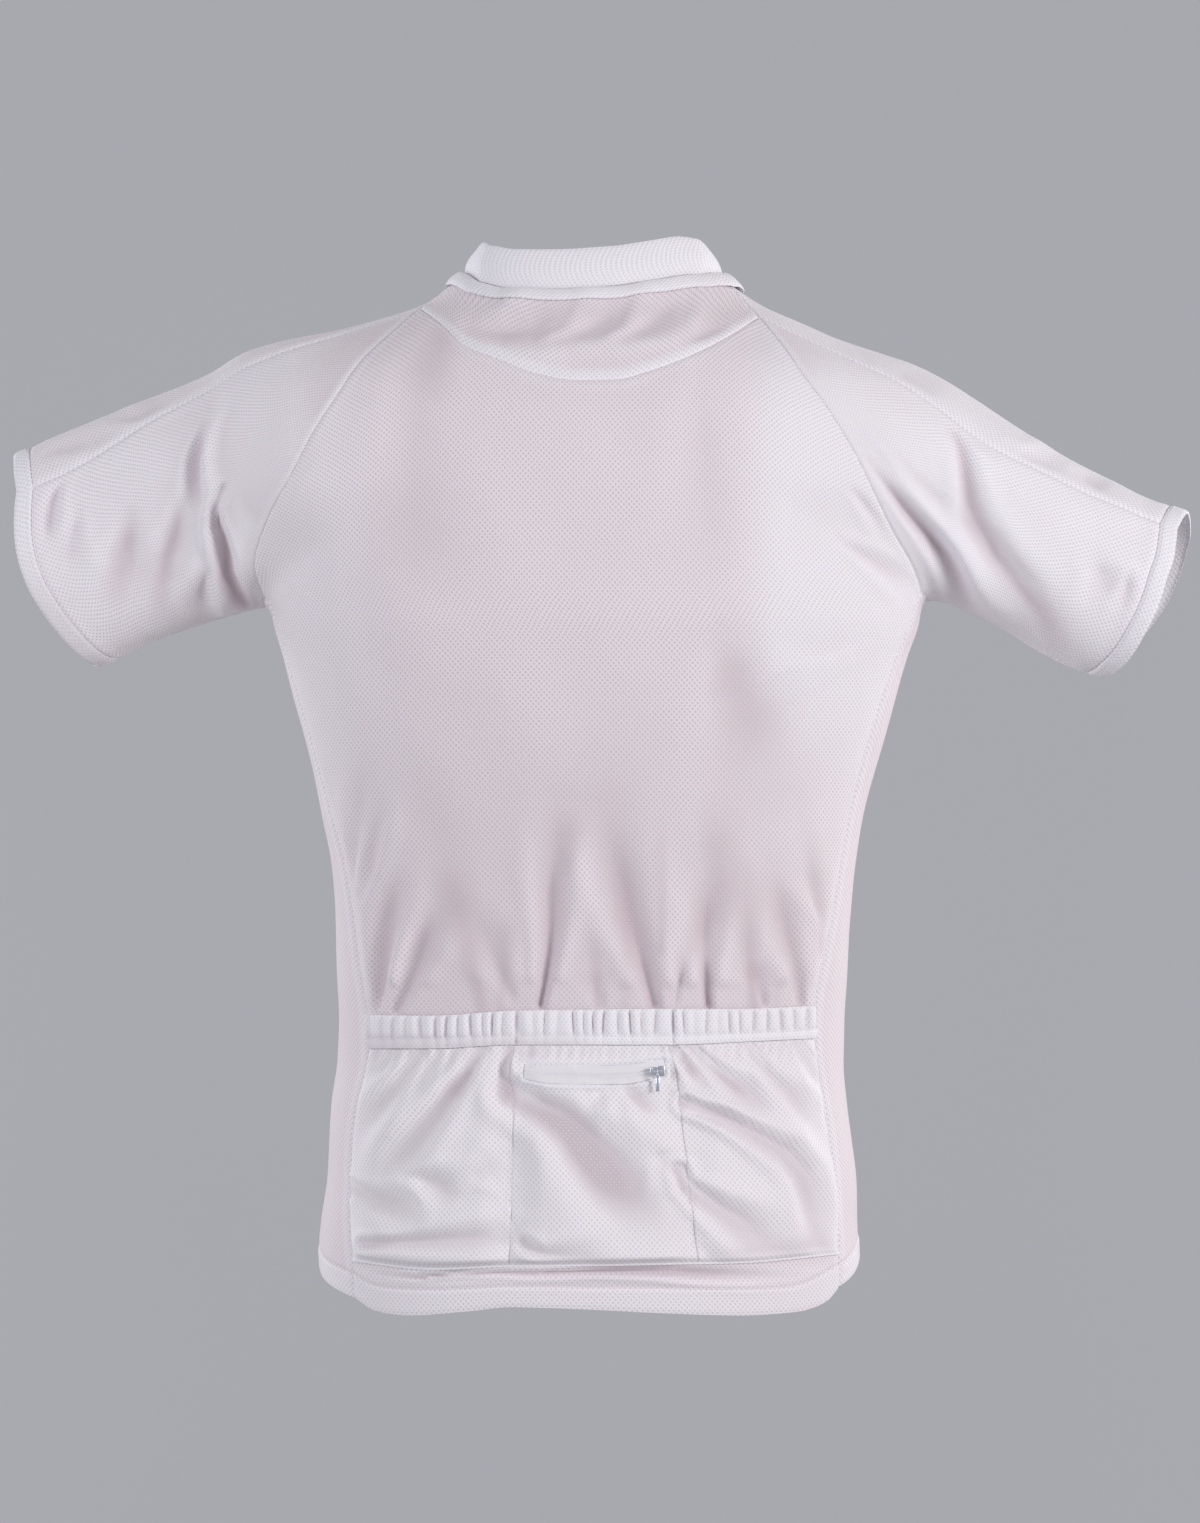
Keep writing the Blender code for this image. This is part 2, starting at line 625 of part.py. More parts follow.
def panel(name, grid, kinds=(), rise=0.0, wall=CLOTH, lift=0.0, normal=None, tone=0.86):
    """A piece of cloth over a grid of points on the form; lift is its underside above the form."""
    normal = outward(grid) if normal is None else normal
    height = folds(grid, normal, kinds) * near_edge(grid.shape) + rise
    skin = grid + normal * (height + (lift + wall if lift else 0.0))[..., None]
    outer = drawn_in(skin, grid)
    inner = outer - normal * np.broadcast_to(wall, height.shape)[..., None]
    material = cloth_material(name + "_knit", (tone, tone * 0.985, tone), 0.85)
    sheet_object(name, outer, inner, material)
    return skin


def hem_rows(rows, hem_start):
    """Rise and wall down the rows of a panel whose last N_HEM rows are the turned-up hem."""
    rise, wall = np.zeros(rows + 1), np.full(rows + 1, CLOTH)
    rise[hem_start] = -0.4
    rise[hem_start + 1 : -1] = 0.8
    rise[-1] = 0.2
    wall[hem_start + 1 :] = HEM_FOLD
    return rise[:, None], wall[:, None]


# ---------------------------------------------------------------- seams shared by the panels


def turned(p, about):
    """Points mirrored through the plane y = about."""
    return np.stack([p[:, 0], 2 * about - p[:, 1], p[:, 2]], axis=1)


def sleeve_seams(side):
    """Every seam of one sleeve and the neckline beside it, as points on the form."""
    way = -1 if side == "left" else 1
    axis = SLEEVE[side]
    corner = settle(np.array(NECK_POINT[side], float))
    found = {
        "strip_neck_back": steadied(STRIP_NECK[side], N_NECK, corner, 1500),
        "strip_back": steadied(STRIP_SEAM[side], N_SLEEVE),
        "raglan_back": seam(RAGLAN_SEAM[side], N_RAGLAN),
    }
    found["strip_neck_back"][-1] = found["raglan_back"][0]
    found["strip_back"][0] = found["raglan_back"][0]
    ring = np.array(NECK_FRONT, float) * (way, 1, 1)
    ring = settle(curve(np.vstack([found["strip_neck_back"][:1], ring]), 200))
    length = np.concatenate([[0], np.cumsum(np.linalg.norm(np.diff(ring, axis=0), axis=1))])
    split = int(np.searchsorted(length, STRIP_AT_NECK))
    found["neck_strip"] = settle(even(ring[: split + 1], N_RIDGE))
    found["neck_front"] = settle(even(ring[split:], N_FRONT))
    # The strip widens from the neck to the top of the raglan seams, and a little more beyond
    back = join(found["strip_neck_back"], found["strip_back"])
    steps = np.arange(len(back))
    widths = (
        (0, STRIP_AT_NECK), (N_NECK, STRIP_AT_APEX),
        (N_NECK + 3, STRIP_WIDTH), (len(back), STRIP_WIDTH),
    )
    front = back.copy()
    front[:, 1] += through(steps, widths, 1)
    front = settle(front, 20, (0, 2))
    spread = np.clip(1 - steps / N_NECK, 0, 1)[:, None]
    front += spread * (found["neck_strip"][-1] - front[0])
    for _ in range(4):
        front[1:-1] += 0.25 * (front[:-2] + front[2:] - 2 * front[1:-1])
    front = settle(front)
    front[0] = found["neck_strip"][-1]
    found["strip_neck_front"], found["strip_front"] = front[: N_NECK + 1], front[N_NECK:]
    corner = found["raglan_back"][-1]
    mirror = settle(turned(found["raglan_back"], 0.0))
    fade = ease(np.arange(N_RAGLAN + 1) / N_RAGLAN, 0.0, 0.4)[:, None]
    found["raglan_front"] = settle(mirror + (1 - fade) * (front[N_NECK] - mirror[0]))
    found["raglan_front"][0] = front[N_NECK]
    # Across the armpit and along the underarm
    pit_x = way * 219.0
    pit = np.array([[pit_x, 0.0, through(np.array(pit_x), axis, 2) + 3]])
    found["armpit_back"] = over(np.vstack([corner, pit]), N_ARMPIT)
    found["armpit_front"] = over(np.vstack([found["armpit_back"][-1], found["raglan_front"][-1]]), N_ARMPIT)
    end = CUFF_ENDS[side][1]
    x = np.linspace(pit_x, end, 8)[1:]
    low = np.stack([x, through(x, axis, 3), through(x, axis, 2)], axis=1)
    found["underarm"] = over(np.vstack([found["armpit_back"][-1], low]), N_SLEEVE)
    # Round the cuff
    rows = N_RAGLAN + N_ARMPIT
    back_half = np.vstack([sighted(curve(CUFF_SEAM[side])), found["underarm"][-1:]])
    back_half[0] = found["strip_back"][-1]
    found["cuff_back"] = settle(even(calm(even(back_half, 60), 60), rows))
    found["cuff_back"][[0, -1]] = back_half[[0, -1]]
    front_half = turned(found["cuff_back"], through(found["cuff_back"][:, 0], axis, 3))
    part = np.arange(rows + 1) / rows
    front_half[:, 0] += CUFF_FRONT_REACH[side] * way * (1 - ease(part, 0.25, 0.8))
    found["cuff_front"] = settle(front_half)
    found["cuff_front"][-1] = found["underarm"][-1]
    front[N_NECK + 1 :] += np.linspace(0, 1, N_SLEEVE)[:, None] ** 2 * (found["cuff_front"][0] - front[-1])
    front[N_NECK + 1 :] = settle(front[N_NECK + 1 :])
    front[-1] = found["cuff_front"][0]
    found["strip_front"] = front[N_NECK:]
    top_x = np.array(CUFF_ENDS[side][0], float)
    ridge = [[top_x, through(top_x, axis, 3), through(top_x, axis, 1)]]
    found["cuff_top"] = over(np.vstack([back[-1:], ridge, front[-1:]]), N_RIDGE)
    return found


def side_seams(side, shared):
    """The side seams behind and in front, and the lines across the side panel and the front."""
    way = -1 if side == "left" else 1
    counts = (N_WAIST, N_POCKET, 1, N_HEM)
    lengths = [seam(line, count) for line, count in zip(SIDE_SEAM[side], counts)]
    lengths[0] = steadied(SIDE_SEAM[side][0], N_WAIST)
    lengths[0][0] = shared["raglan_back"][-1]
    lengths[0][-1] = lengths[1][0]
    back = join(*lengths)
    top, low = back[0, 2], back[-1, 2]
    height = shared["raglan_front"][-1, 2] + (back[:, 2] - top) * (
        HEM_AT_FRONT_SEAM - shared["raglan_front"][-1, 2]
    ) / (low - top)
    front = np.stack([back[:, 0], -back[:, 1], height], axis=1)
    for _ in range(6):
        front[1:-1] += 0.25 * (front[:-2] + front[2:] - 2 * front[1:-1])
    front = settle(front)
    front[0] = shared["raglan_front"][-1]
    stitch = N_WAIST + N_POCKET + 1
    edge = HEM_AT_SIDE[side]
    wide = way * 178.0
    found = {"back": back, "front": front, "stitch_row": stitch}
    for name, row, lift in (("stitch", stitch, HEM_DEPTH), ("hem", -1, 0.0)):
        around = np.array([[wide - 3, 0.0, edge + lift]])
        found[name + "_side"] = over(np.vstack([back[row], around, front[row]]), 2 * N_ARMPIT)
        centre = [[way * 2.9, 103.0, HEM_AT_FRONT + lift]]
        half = [[way * 95.0, 92.0, (HEM_AT_FRONT + 2 * HEM_AT_FRONT_SEAM) / 3 + lift]]
        found[name + "_front"] = over(np.vstack([front[row], half, centre]), N_FRONT)
    neck, hem = shared["neck_front"][-1], found["hem_front"][-1]
    z = np.linspace(neck[2], found["stitch_front"][-1][2], 60)[1:-1]
    rows = len(front) - 1 + N_NECK + N_RAGLAN - N_HEM
    line = np.stack([0 * z + way * 2.9, through(z, TORSO, 4), z], axis=1)
    found["centre"] = over(np.vstack([neck, line, found["stitch_front"][-1]]), rows)
    found["centre_hem"] = over(np.vstack([found["stitch_front"][-1], hem]), N_HEM)
    return found


# ---------------------------------------------------------------- the pieces of the garment


def make_back(sleeves, sides):
    left, right = sides["left"]["back"], sides["right"]["back"]
    yoke_line = seam(YOKE_SEAM, N_ACROSS)
    ends = [sleeves[side]["strip_neck_back"] for side in ("left", "right")]
    neckline = np.vstack([ends[0][:1], sighted(curve(NECKLINE)), ends[1][:1]])
    neckline = settle(even(neckline, N_ACROSS))
    edges = {side: join(sleeves[side]["raglan_back"], sides[side]["back"][: N_WAIST + 1]) for side in sides}
    band = seam(BAND_LINE, N_ACROSS)
    bottom = seam(POCKET_BOTTOM, N_ACROSS)
    stitch = seam(STITCH_LINE, N_ACROSS)
    hem = seam(HEM_LINE, N_ACROSS)
    pockets, rows = N_WAIST + N_POCKET, slice(N_WAIST, N_WAIST + N_POCKET + 1)
    upper = patch(yoke_line, band, edges["left"], edges["right"])
    middle = patch(band, bottom, left[rows], right[rows])
    lower = patch(bottom, stitch, left[pockets : pockets + 2], right[pockets : pockets + 2])
    edge = patch(stitch, hem, left[pockets + 1 :], right[pockets + 1 :])
    grid = stack(upper, middle, lower, edge)
    rise, wall = hem_rows(grid.shape[0] - 1, N_RAGLAN + N_WAIST + N_POCKET + 1)
    panel("back_panel", grid, FOLDS_OF["back_panel"], rise, wall)
    return neckline, panel("back_yoke", patch(neckline, yoke_line, *ends), FOLDS_OF["back_yoke"])


def make_side(side, sleeve, seams):
    top = join(sleeve["armpit_back"], sleeve["armpit_front"])
    stitch = seams["stitch_row"]
    upper = patch(top, seams["stitch_side"], seams["back"][: stitch + 1], seams["front"][: stitch + 1])
    edge = patch(seams["stitch_side"], seams["hem_side"], seams["back"][stitch:], seams["front"][stitch:])
    grid = stack(upper, edge)
    rise, wall = hem_rows(grid.shape[0] - 1, stitch)
    panel("side_panel_" + side, grid, FOLDS_OF["side_panel"], rise, wall)


def make_front(side, sleeve, seams):
    stitch = seams["stitch_row"]
    left = join(sleeve["strip_neck_front"], sleeve["raglan_front"], seams["front"][: stitch + 1])
    upper = patch(sleeve["neck_front"], seams["stitch_front"], left, seams["centre"])
    edge = patch(seams["stitch_front"], seams["hem_front"], seams["front"][stitch:], seams["centre_hem"])
    grid = stack(upper, edge)
    rise, wall = hem_rows(grid.shape[0] - 1, len(left) - 1)
    return panel("front_" + side, grid, (), rise, wall)


def make_sleeve(side, s):
    armhole = join(s["raglan_back"], s["armpit_back"])
    back = patch(s["strip_back"], s["underarm"], armhole, s["cuff_back"])
    panel("sleeve_back_" + side, back, FOLDS_OF["sleeve"])
    armhole = join(s["raglan_front"], s["armpit_front"][::-1])
    front = patch(s["strip_front"], s["underarm"], armhole, s["cuff_front"])
    panel("sleeve_front_" + side, front)
    long_back = join(s["strip_neck_back"], s["strip_back"])
    long_front = join(s["strip_neck_front"], s["strip_front"])
    return panel("shoulder_strip_" + side, patch(long_back, long_front, s["neck_strip"], s["cuff_top"]))


def make_cuff(side, s):
    way = -1 if side == "left" else 1
    ring = join(s["cuff_back"][::-1], s["cuff_top"], s["cuff_front"])
    run = np.gradient(ring, axis=0)
    out = np.cross(outward(ring), run)
    out /= np.linalg.norm(out, axis=1, keepdims=True)
    out *= np.sign(out[:, :1].mean()) * way
    rows = [ring] + [settle(ring + out * CUFF_DEPTH * part) for part in (0.5, 1.0)]
    rise = np.array([0.0, 0.9, 0.2])[:, None]
    panel("cuff_" + side, np.stack(rows), (), rise, CUFF_WALL, tone=0.9)


def neck_ring(neckline, sleeves):
    """The whole neckline, from the zip round the left shoulder and the back to the zip again."""
    left, right = sleeves["left"], sleeves["right"]
    start = join(left["neck_front"][::-1], left["neck_strip"][::-1])
    return join(start, neckline, right["neck_strip"], right["neck_front"])


def neck_columns(fronts, strips, yoke):
    """For each point of the neck ring, the line of panel points that runs away from it."""
    columns = [fronts["left"][:, k] for k in range(N_FRONT, -1, -1)]
    columns += [strips["left"][k] for k in range(N_RIDGE - 1, -1, -1)]
    columns += [yoke[:, k] for k in range(1, N_ACROSS + 1)]
    columns += [strips["right"][k] for k in range(1, N_RIDGE + 1)]
    return columns + [fronts["right"][:, k] for k in range(1, N_FRONT + 1)]


def round_the_neck(ring):
    """Which way is out from the neck at each point of its ring, and the angle from the back."""
    out = ring[:, :2] - (-1.0, 0.0)
    angle = np.degrees(np.arctan2(np.abs(out[:, 0]) / 84, -out[:, 1] / 58))
    return out / np.linalg.norm(out, axis=1, keepdims=True), angle


def make_collar(ring):
    out, angle = round_the_neck(ring)
    tall, lean = through(angle, COLLAR, 1), through(angle, COLLAR, 2)
    grids, rises = [], (0.0, 0.35, 0.7, 1.0)
    for part in rises:
        row = ring.copy()
        row[:, 2] += 0.5 + part * tall
        row[:, :2] -= out * (lean * part**1.6 - 1.2 * math.sin(math.pi * part))[:, None]
        grids.append(row)
    grid = np.stack(grids)
    normal = np.stack([np.column_stack([out, 0 * tall + 0.25 * part]) for part in rises])
    normal /= np.linalg.norm(normal, axis=-1, keepdims=True)
    panel("collar", grid, (), 0.0, COLLAR_WALL, normal=normal, tone=0.9)
    return grid


def make_tape(ring, columns):
    """The rolled tape over the neck seam, walked down the panels under it from the neckline."""
    width = through(round_the_neck(ring)[1], TAPE, 1)
    parts = (0.08, 0.36, 0.7, 1.0)
    grid = np.empty((len(parts), len(ring), 3))
    for k, column in enumerate(columns):
        length = np.concatenate([[0], np.cumsum(np.linalg.norm(np.diff(column, axis=0), axis=1))])
        for axis in range(3):
            grid[:, k, axis] = np.interp(np.array(parts) * width[k], length, column[:, axis])
    wall = np.array([1.2, TAPE_ROLL, TAPE_ROLL, 1.2])[:, None]
    normal = outward(grid)
    under = LAYER_GAP * (1 + 3.6 * ease(round_the_neck(ring)[1], 50, 85))
    skin = grid + normal * (under + wall)[..., None]
    outer = drawn_in(skin, grid)
    inner = outer - normal * wall[..., None]
    sheet_object("neck_tape", outer, inner, cloth_material("neck_tape_knit", (0.9, 0.89, 0.91), 0.85))


def flat_patch(top, bottom, left, right):
    """A grid between four drawn edges, carried on to the form."""
    rows, columns = len(left) - 1, len(top) - 1
    v = np.linspace(0, 1, rows + 1)[:, None, None]
    u = np.linspace(0, 1, columns + 1)[None, :, None]
    grid = (1 - v) * top[None] + v * bottom[None] + (1 - u) * left[:, None] + u * right[:, None]
    grid -= (1 - u) * (1 - v) * top[0] + u * (1 - v) * top[-1]
    return grid - (1 - u) * v * bottom[0] - u * v * bottom[-1]


def cut_at(line, places):
    """A drawn line cut where its points pass each place across."""
    fine = curve(line, 400)
    cuts = [int(np.argmin(np.abs(fine[:, 0] - place))) for place in places]
    bounds = [0, *cuts, len(fine) - 1]
    return [fine[a : b + 1] for a, b in zip(bounds[:-1], bounds[1:])]


def pocket_rise(grid):
    """How far the pockets stand out from the back: full between the lines that hold them down."""
    place = drawn_place(grid)
    hold = [POCKET_SIDE["left"], DIVIDER["left"], DIVIDER["right"], POCKET_SIDE["right"]]
    nearest = np.min([along(place, line)[0] for line in hold], axis=0)
    bottom = along(place, POCKET_BOTTOM)[0]
    top = along(place, LOWER_BAND_LINE)[0]
    full = POCKET_FULLNESS * ease(nearest, 0, 22) * ease(top, 0, 40)
    sag = POCKET_SAG * ease(nearest, 0, 8) * np.exp(-((bottom / 14) ** 2))
    groove = -0.2 * np.exp(-((nearest / 3) ** 2))
    return full + sag + groove


def pocket_height(grid):
    """The pockets' fullness less their folds, never into the back; the lip turns in to meet it."""
    height = np.maximum(pocket_rise(grid) + folds(grid, outward(grid), ("pocket",)), 0.0)
    below = ease(drawn_place(grid)[..., 1], -654, -648)
    return 0.2 + height * below


def make_pockets():
    tops = cut_at(LOWER_BAND_LINE, (DIVIDER["left"][0][0], DIVIDER["right"][0][0]))
    lows = cut_at(POCKET_BOTTOM, (DIVIDER["left"][-1][0], DIVIDER["right"][-1][0]))
    sides = [POCKET_SIDE["left"], DIVIDER["left"], DIVIDER["right"], POCKET_SIDE["right"]]
    rows = 14
    sides = [curve(line, rows) for line in sides]
    for k, line in enumerate(sides):
        line[0] = tops[min(k, 2)][0 if k < 3 else -1]
        line[-1] = lows[min(k, 2)][0 if k < 3 else -1]
    thirds = [
        flat_patch(even(tops[k], count), even(lows[k], count), sides[k], sides[k + 1])
        for k, count in enumerate((9, 9, 8))
    ]
    flat = np.concatenate([thirds[0], thirds[1][:, 1:], thirds[2][:, 1:]], axis=1)
    lip = flat[-1] + (0.0, -3.2)
    flat = np.concatenate([flat, lip[None]])
    flat[:, 0, 0] += 0.6
    flat[:, -1, 0] -= 0.6
    grid = sighted(flat)
    panel("pocket_panel", grid, (), pocket_height(grid), CLOTH, LAYER_GAP, tone=0.88)


def make_band():
    columns = 2 * GATHERS
    lines = [curve(line, columns) for line in (BAND_LINE, TUNNEL_LINE, LOWER_BAND_LINE)]
    lines[0] = lines[0] * (0.99, 1)
    # rows: between which lines, how far between them, how far out, how deep the gathers
    rows = (
        (0, 0.0, 0.2, 0.3),
        (0, 0.28, 1.0, 1.0),
        (0, 0.72, 0.95, 1.0),
        (1, 0.0, 0.1, 0.35),
        (1, 0.5, 0.35, 0.5),
        (1, 0.92, 0.0, 0.15),
    )
    flat = np.stack([lines[k] * (1 - t) + lines[k + 1] * t for k, t, _, _ in rows])
    grid = sighted(flat)
    crest = np.where(np.arange(columns + 1) % 2, 0.0, -1.0)
    uneven = 1 + 0.35 * np.sin(np.arange(columns + 1) * 1.7) + 0.2 * np.sin(np.arange(columns + 1) * 0.43)
    rise = np.stack([BAND_ROLL * out + GATHER_DEPTH * deep * crest * uneven for _, _, out, deep in rows])
    panel("pocket_band", grid, (), rise + 0.8, CLOTH, LAYER_GAP, tone=0.87)


def make_pocket_zip():
    across = np.linspace(POCKET_ZIP[0][0], POCKET_ZIP[-1][0], 15)
    top, low = through(across, POCKET_ZIP, 1), through(across, POCKET_ZIP, 2)
    parts = (0.04, 0.32, 0.5, 0.68, 0.96)
    flat = np.stack([np.stack([across, top + (low - top) * part], axis=1) for part in parts])
    grid = sighted(flat)
    normal = outward(grid)
    under = pocket_height(grid)
    wall = np.array([ZIP_TAPE, 1.0, ZIP_COIL, 1.0, ZIP_TAPE])[:, None] + 0 * under
    skin = grid + normal * (under + 2 * LAYER_GAP + 0.3 + CLOTH + wall)[..., None]
    inner = skin - normal * wall[..., None]
    sheet_object("pocket_zip", skin, inner, cloth_material("pocket_zip_tape", (0.9, 0.9, 0.92), 0.6))
    crest = [np.interp(SLIDER_AT, skin[2, :, 0], skin[2, :, axis]) for axis in range(3)]
    near = np.abs(skin[2, :, 0] - SLIDER_AT) < 1.2 * SLIDER_LENGTH / 2
    return np.array([crest[0], skin[1:4, near, 1].min(), crest[2] - 1.5])


def make_front_zip(collar, sides):
    """The closed front zip: one strip with a raised coil from the top of the collar to the hem."""
    edges = [
        join(collar[::-1, column], sides[side]["centre"][1:], sides[side]["centre_hem"][1:])
        for column, side in ((0, "left"), (-1, "right"))
    ]
    middle = (edges[0] + edges[1]) / 2
    keep = [0, 2, *range(4, len(middle) - 1, 2), len(middle) - 1]
    middle = middle[keep]
    neck = 2
    normal = np.tile(np.array([0.0, 1.0, 0.0]), (len(middle), 1))
    normal[neck + 1 :] = outward(middle[neck + 1 :])
    normal[:, 0] = 0
    normal /= np.linalg.norm(normal, axis=1, keepdims=True)
    columns = (-ZIP_HALF, -0.8, 0.8, ZIP_HALF)
    crest = (0.0, 0.9, 0.9, 0.0)
    outer = np.stack([middle + (at, 0, 0) + normal * out for at, out in zip(columns, crest)], axis=1)
    inner = np.stack([middle + (at, 0, 0) - normal * CLOTH for at in columns], axis=1)
    sheet_object("front_zip", outer, inner, cloth_material("front_zip_tape", (0.9, 0.9, 0.92), 0.6))
    heights = FRONT_SLIDER_HEIGHT + np.linspace(-0.5, 0.5, 5) * SLIDER_LENGTH
    crest = np.interp(heights, middle[::-1, 2], outer[::-1, 1, 1])
    return np.array([middle[0, 0], crest.max(), FRONT_SLIDER_HEIGHT])


# ---------------------------------------------------------------- zip sliders and pulls


def block(size, centre, bevel=0.0):
    """A box in millimetres, as a bmesh in metres, with its edges bevelled if asked."""
    body = bmesh.new()
    corners = bmesh.ops.create_cube(body, size=1.0)["verts"]
    bmesh.ops.scale(body, vec=[side * MM for side in size], verts=corners)
    bmesh.ops.translate(body, vec=[at * MM for at in centre], verts=corners)
    if bevel:
        bmesh.ops.bevel(body, geom=body.edges[:], offset=bevel * MM, segments=1, affect="EDGES")
    return body


def bar(radius, length, centre):
    """A round bar along X."""
    body = bmesh.new()
    bmesh.ops.create_cone(
        body, cap_ends=True, segments=12, radius1=radius * MM, radius2=radius * MM, depth=length * MM
    )
    quarter = Matrix.Rotation(math.pi / 2, 3, "Y")
    bmesh.ops.rotate(body, cent=(0, 0, 0), matrix=quarter, verts=body.verts[:])
    bmesh.ops.translate(body, vec=[at * MM for at in centre], verts=body.verts[:])
    return body


def union(name, pieces, material):
    """Blender's exact Boolean union of some overlapping closed meshes."""
    things = []
    for k, body in enumerate(pieces):
        mesh = bpy.data.meshes.new(f"{name}_{k}")
        body.to_mesh(mesh)
        body.free()
        things.append(bpy.data.objects.new(f"{name}_{k}", mesh))
        bpy.context.scene.collection.objects.link(things[-1])
    for other in things[1:]:
        modifier = things[0].modifiers.new("join", "BOOLEAN")
        modifier.operation = "UNION"
        modifier.solver = "EXACT"
        modifier.object = other
    bpy.context.view_layer.update()
    graph = bpy.context.evaluated_depsgraph_get()
    mesh = bpy.data.meshes.new_from_object(things[0].evaluated_get(graph))
    for thing in things:
        bpy.data.objects.remove(thing)
    mesh.name = name
    mesh.materials.clear()
    mesh.materials.append(material)
    made = bpy.data.objects.new(name, mesh)
    bpy.data.collections[OBJECT_NAME].objects.link(made)
    return made


def make_slider(name, at, away, lengthwise):
    """A zip slider over the coil: a plate, and two posts that carry a bar along X.

    at is the coil's crest, away is the way out along Y, and lengthwise is the axis of the zip's run.
    Gives the place of the bar.
    """
    x, y, z = at
    long, wide = SLIDER_LENGTH, SLIDER_WIDTH
    size = (long, SLIDER_WALL, wide) if lengthwise == "X" else (wide, SLIDER_WALL, long)
    plate = y + away * (SLIDER_CLEARANCE + SLIDER_WALL / 2)
    hinge = plate + away * (SLIDER_WALL / 2 + LOOP_OUTER * math.sqrt(2) + LOOP_CLEARANCE)
    pieces = [block(size, (x, plate, z), 0.45)]
    for end in (-1, 1):
        post = (1.0, abs(hinge - plate), 1.4)
        pieces.append(block(post, (x + end * (LOOP_WIDTH / 2 + 1.0), (plate + hinge) / 2, z)))
    pieces.append(bar(BAR_RADIUS, LOOP_WIDTH + 2.8, (x, hinge, z)))
    union(name, pieces, metal_material(name + "_metal"))
    return x, hinge, z


def make_pull(name, hinge):
    """A pull tab that hangs from the bar by a square loop; its origin is on the bar's axis."""
    middle = (LOOP_INNER + LOOP_OUTER) / 2
    wall, full = LOOP_OUTER - LOOP_INNER, 2 * LOOP_OUTER
    pieces = [
        block((LOOP_WIDTH, wall, full), (0, -middle, 0)),
        block((LOOP_WIDTH, wall, full), (0, middle, 0)),
        block((LOOP_WIDTH, full, wall), (0, 0, middle)),
        block((LOOP_WIDTH, full, wall), (0, 0, -middle)),
        block((LOOP_WIDTH, PULL_WALL, 2.0), (0, 0, -LOOP_OUTER - 0.7)),
    ]
    long = PULL_LENGTH - 3
    pieces.append(block((PULL_WIDTH, PULL_WALL, long), (0, 0, -LOOP_OUTER - 1.4 - long / 2), 0.3))
    made = union(name, pieces, metal_material(name + "_metal"))
    made.location = [at * MM for at in hinge]


def main():
    for thing in list(bpy.data.objects):
        bpy.data.objects.remove(thing, do_unlink=True)
    garment = bpy.data.collections.new(OBJECT_NAME)
    bpy.context.scene.collection.children.link(garment)
    sleeves = {side: sleeve_seams(side) for side in ("left", "right")}
    sides = {side: side_seams(side, sleeves[side]) for side in sleeves}
    neckline, yoke = make_back(sleeves, sides)
    fronts, strips = {}, {}
    for side in sleeves:
        make_side(side, sleeves[side], sides[side])
        fronts[side] = make_front(side, sleeves[side], sides[side])
        strips[side] = make_sleeve(side, sleeves[side])
        make_cuff(side, sleeves[side])
    ring = neck_ring(neckline, sleeves)
    collar = make_collar(ring)
    make_tape(ring, neck_columns(fronts, strips, yoke))
    make_band()
    make_pockets()
    coil = make_pocket_zip()
    front_coil = make_front_zip(collar, sides)
    make_pull("pocket_zip_pull", make_slider("pocket_zip_slider", coil, -1, "X"))
    make_pull("front_zip_pull", make_slider("front_zip_slider", front_coil, 1, "Z"))


main()
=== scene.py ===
"""Looks of a white short-sleeved cycling jersey, laid out as a Blender add-on and run as a script.

Lengths in the tables are millimetres. +Z is up, +Y is the way the wearer faces and +X is the
wearer's right. The body and the two sleeves are one smooth form; each panel is a thin closed sheet
of knit stretched over it between its seam lines, with creases, seams and hems worked in.
"""

import json
import math

import bmesh
import bpy
import numpy as np
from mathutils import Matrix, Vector

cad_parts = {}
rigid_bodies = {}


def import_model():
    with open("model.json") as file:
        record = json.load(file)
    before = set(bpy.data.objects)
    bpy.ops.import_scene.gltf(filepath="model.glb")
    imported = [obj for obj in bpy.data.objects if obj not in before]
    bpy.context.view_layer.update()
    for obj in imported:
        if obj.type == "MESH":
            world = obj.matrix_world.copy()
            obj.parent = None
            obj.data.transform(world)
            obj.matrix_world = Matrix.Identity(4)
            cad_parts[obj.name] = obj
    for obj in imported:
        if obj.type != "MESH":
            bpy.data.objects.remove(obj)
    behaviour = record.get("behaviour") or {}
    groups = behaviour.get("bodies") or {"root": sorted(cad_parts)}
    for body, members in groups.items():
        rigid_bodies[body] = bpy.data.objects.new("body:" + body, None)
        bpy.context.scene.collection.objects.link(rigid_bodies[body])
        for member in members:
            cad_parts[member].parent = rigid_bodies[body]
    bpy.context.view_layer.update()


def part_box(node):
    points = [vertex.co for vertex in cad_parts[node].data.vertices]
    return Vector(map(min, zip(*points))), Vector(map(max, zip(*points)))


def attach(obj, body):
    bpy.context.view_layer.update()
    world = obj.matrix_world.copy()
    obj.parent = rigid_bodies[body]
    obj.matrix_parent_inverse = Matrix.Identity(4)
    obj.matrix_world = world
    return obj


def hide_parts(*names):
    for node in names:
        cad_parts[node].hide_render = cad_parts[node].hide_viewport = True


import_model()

bl_info = {
    "name": "Cycling jersey",
    "version": (1, 0, 0),
    "blender": (4, 5, 0),
    "location": "View3D > Sidebar > Jersey",
    "description": "Builds the cloth, stitching and zips of a worn cycling jersey",
    "category": "Object",
}

MM = 0.001
FINE = 8  # points on each seam for one of the pattern's own
SIDES = {"left": -1, "right": 1}

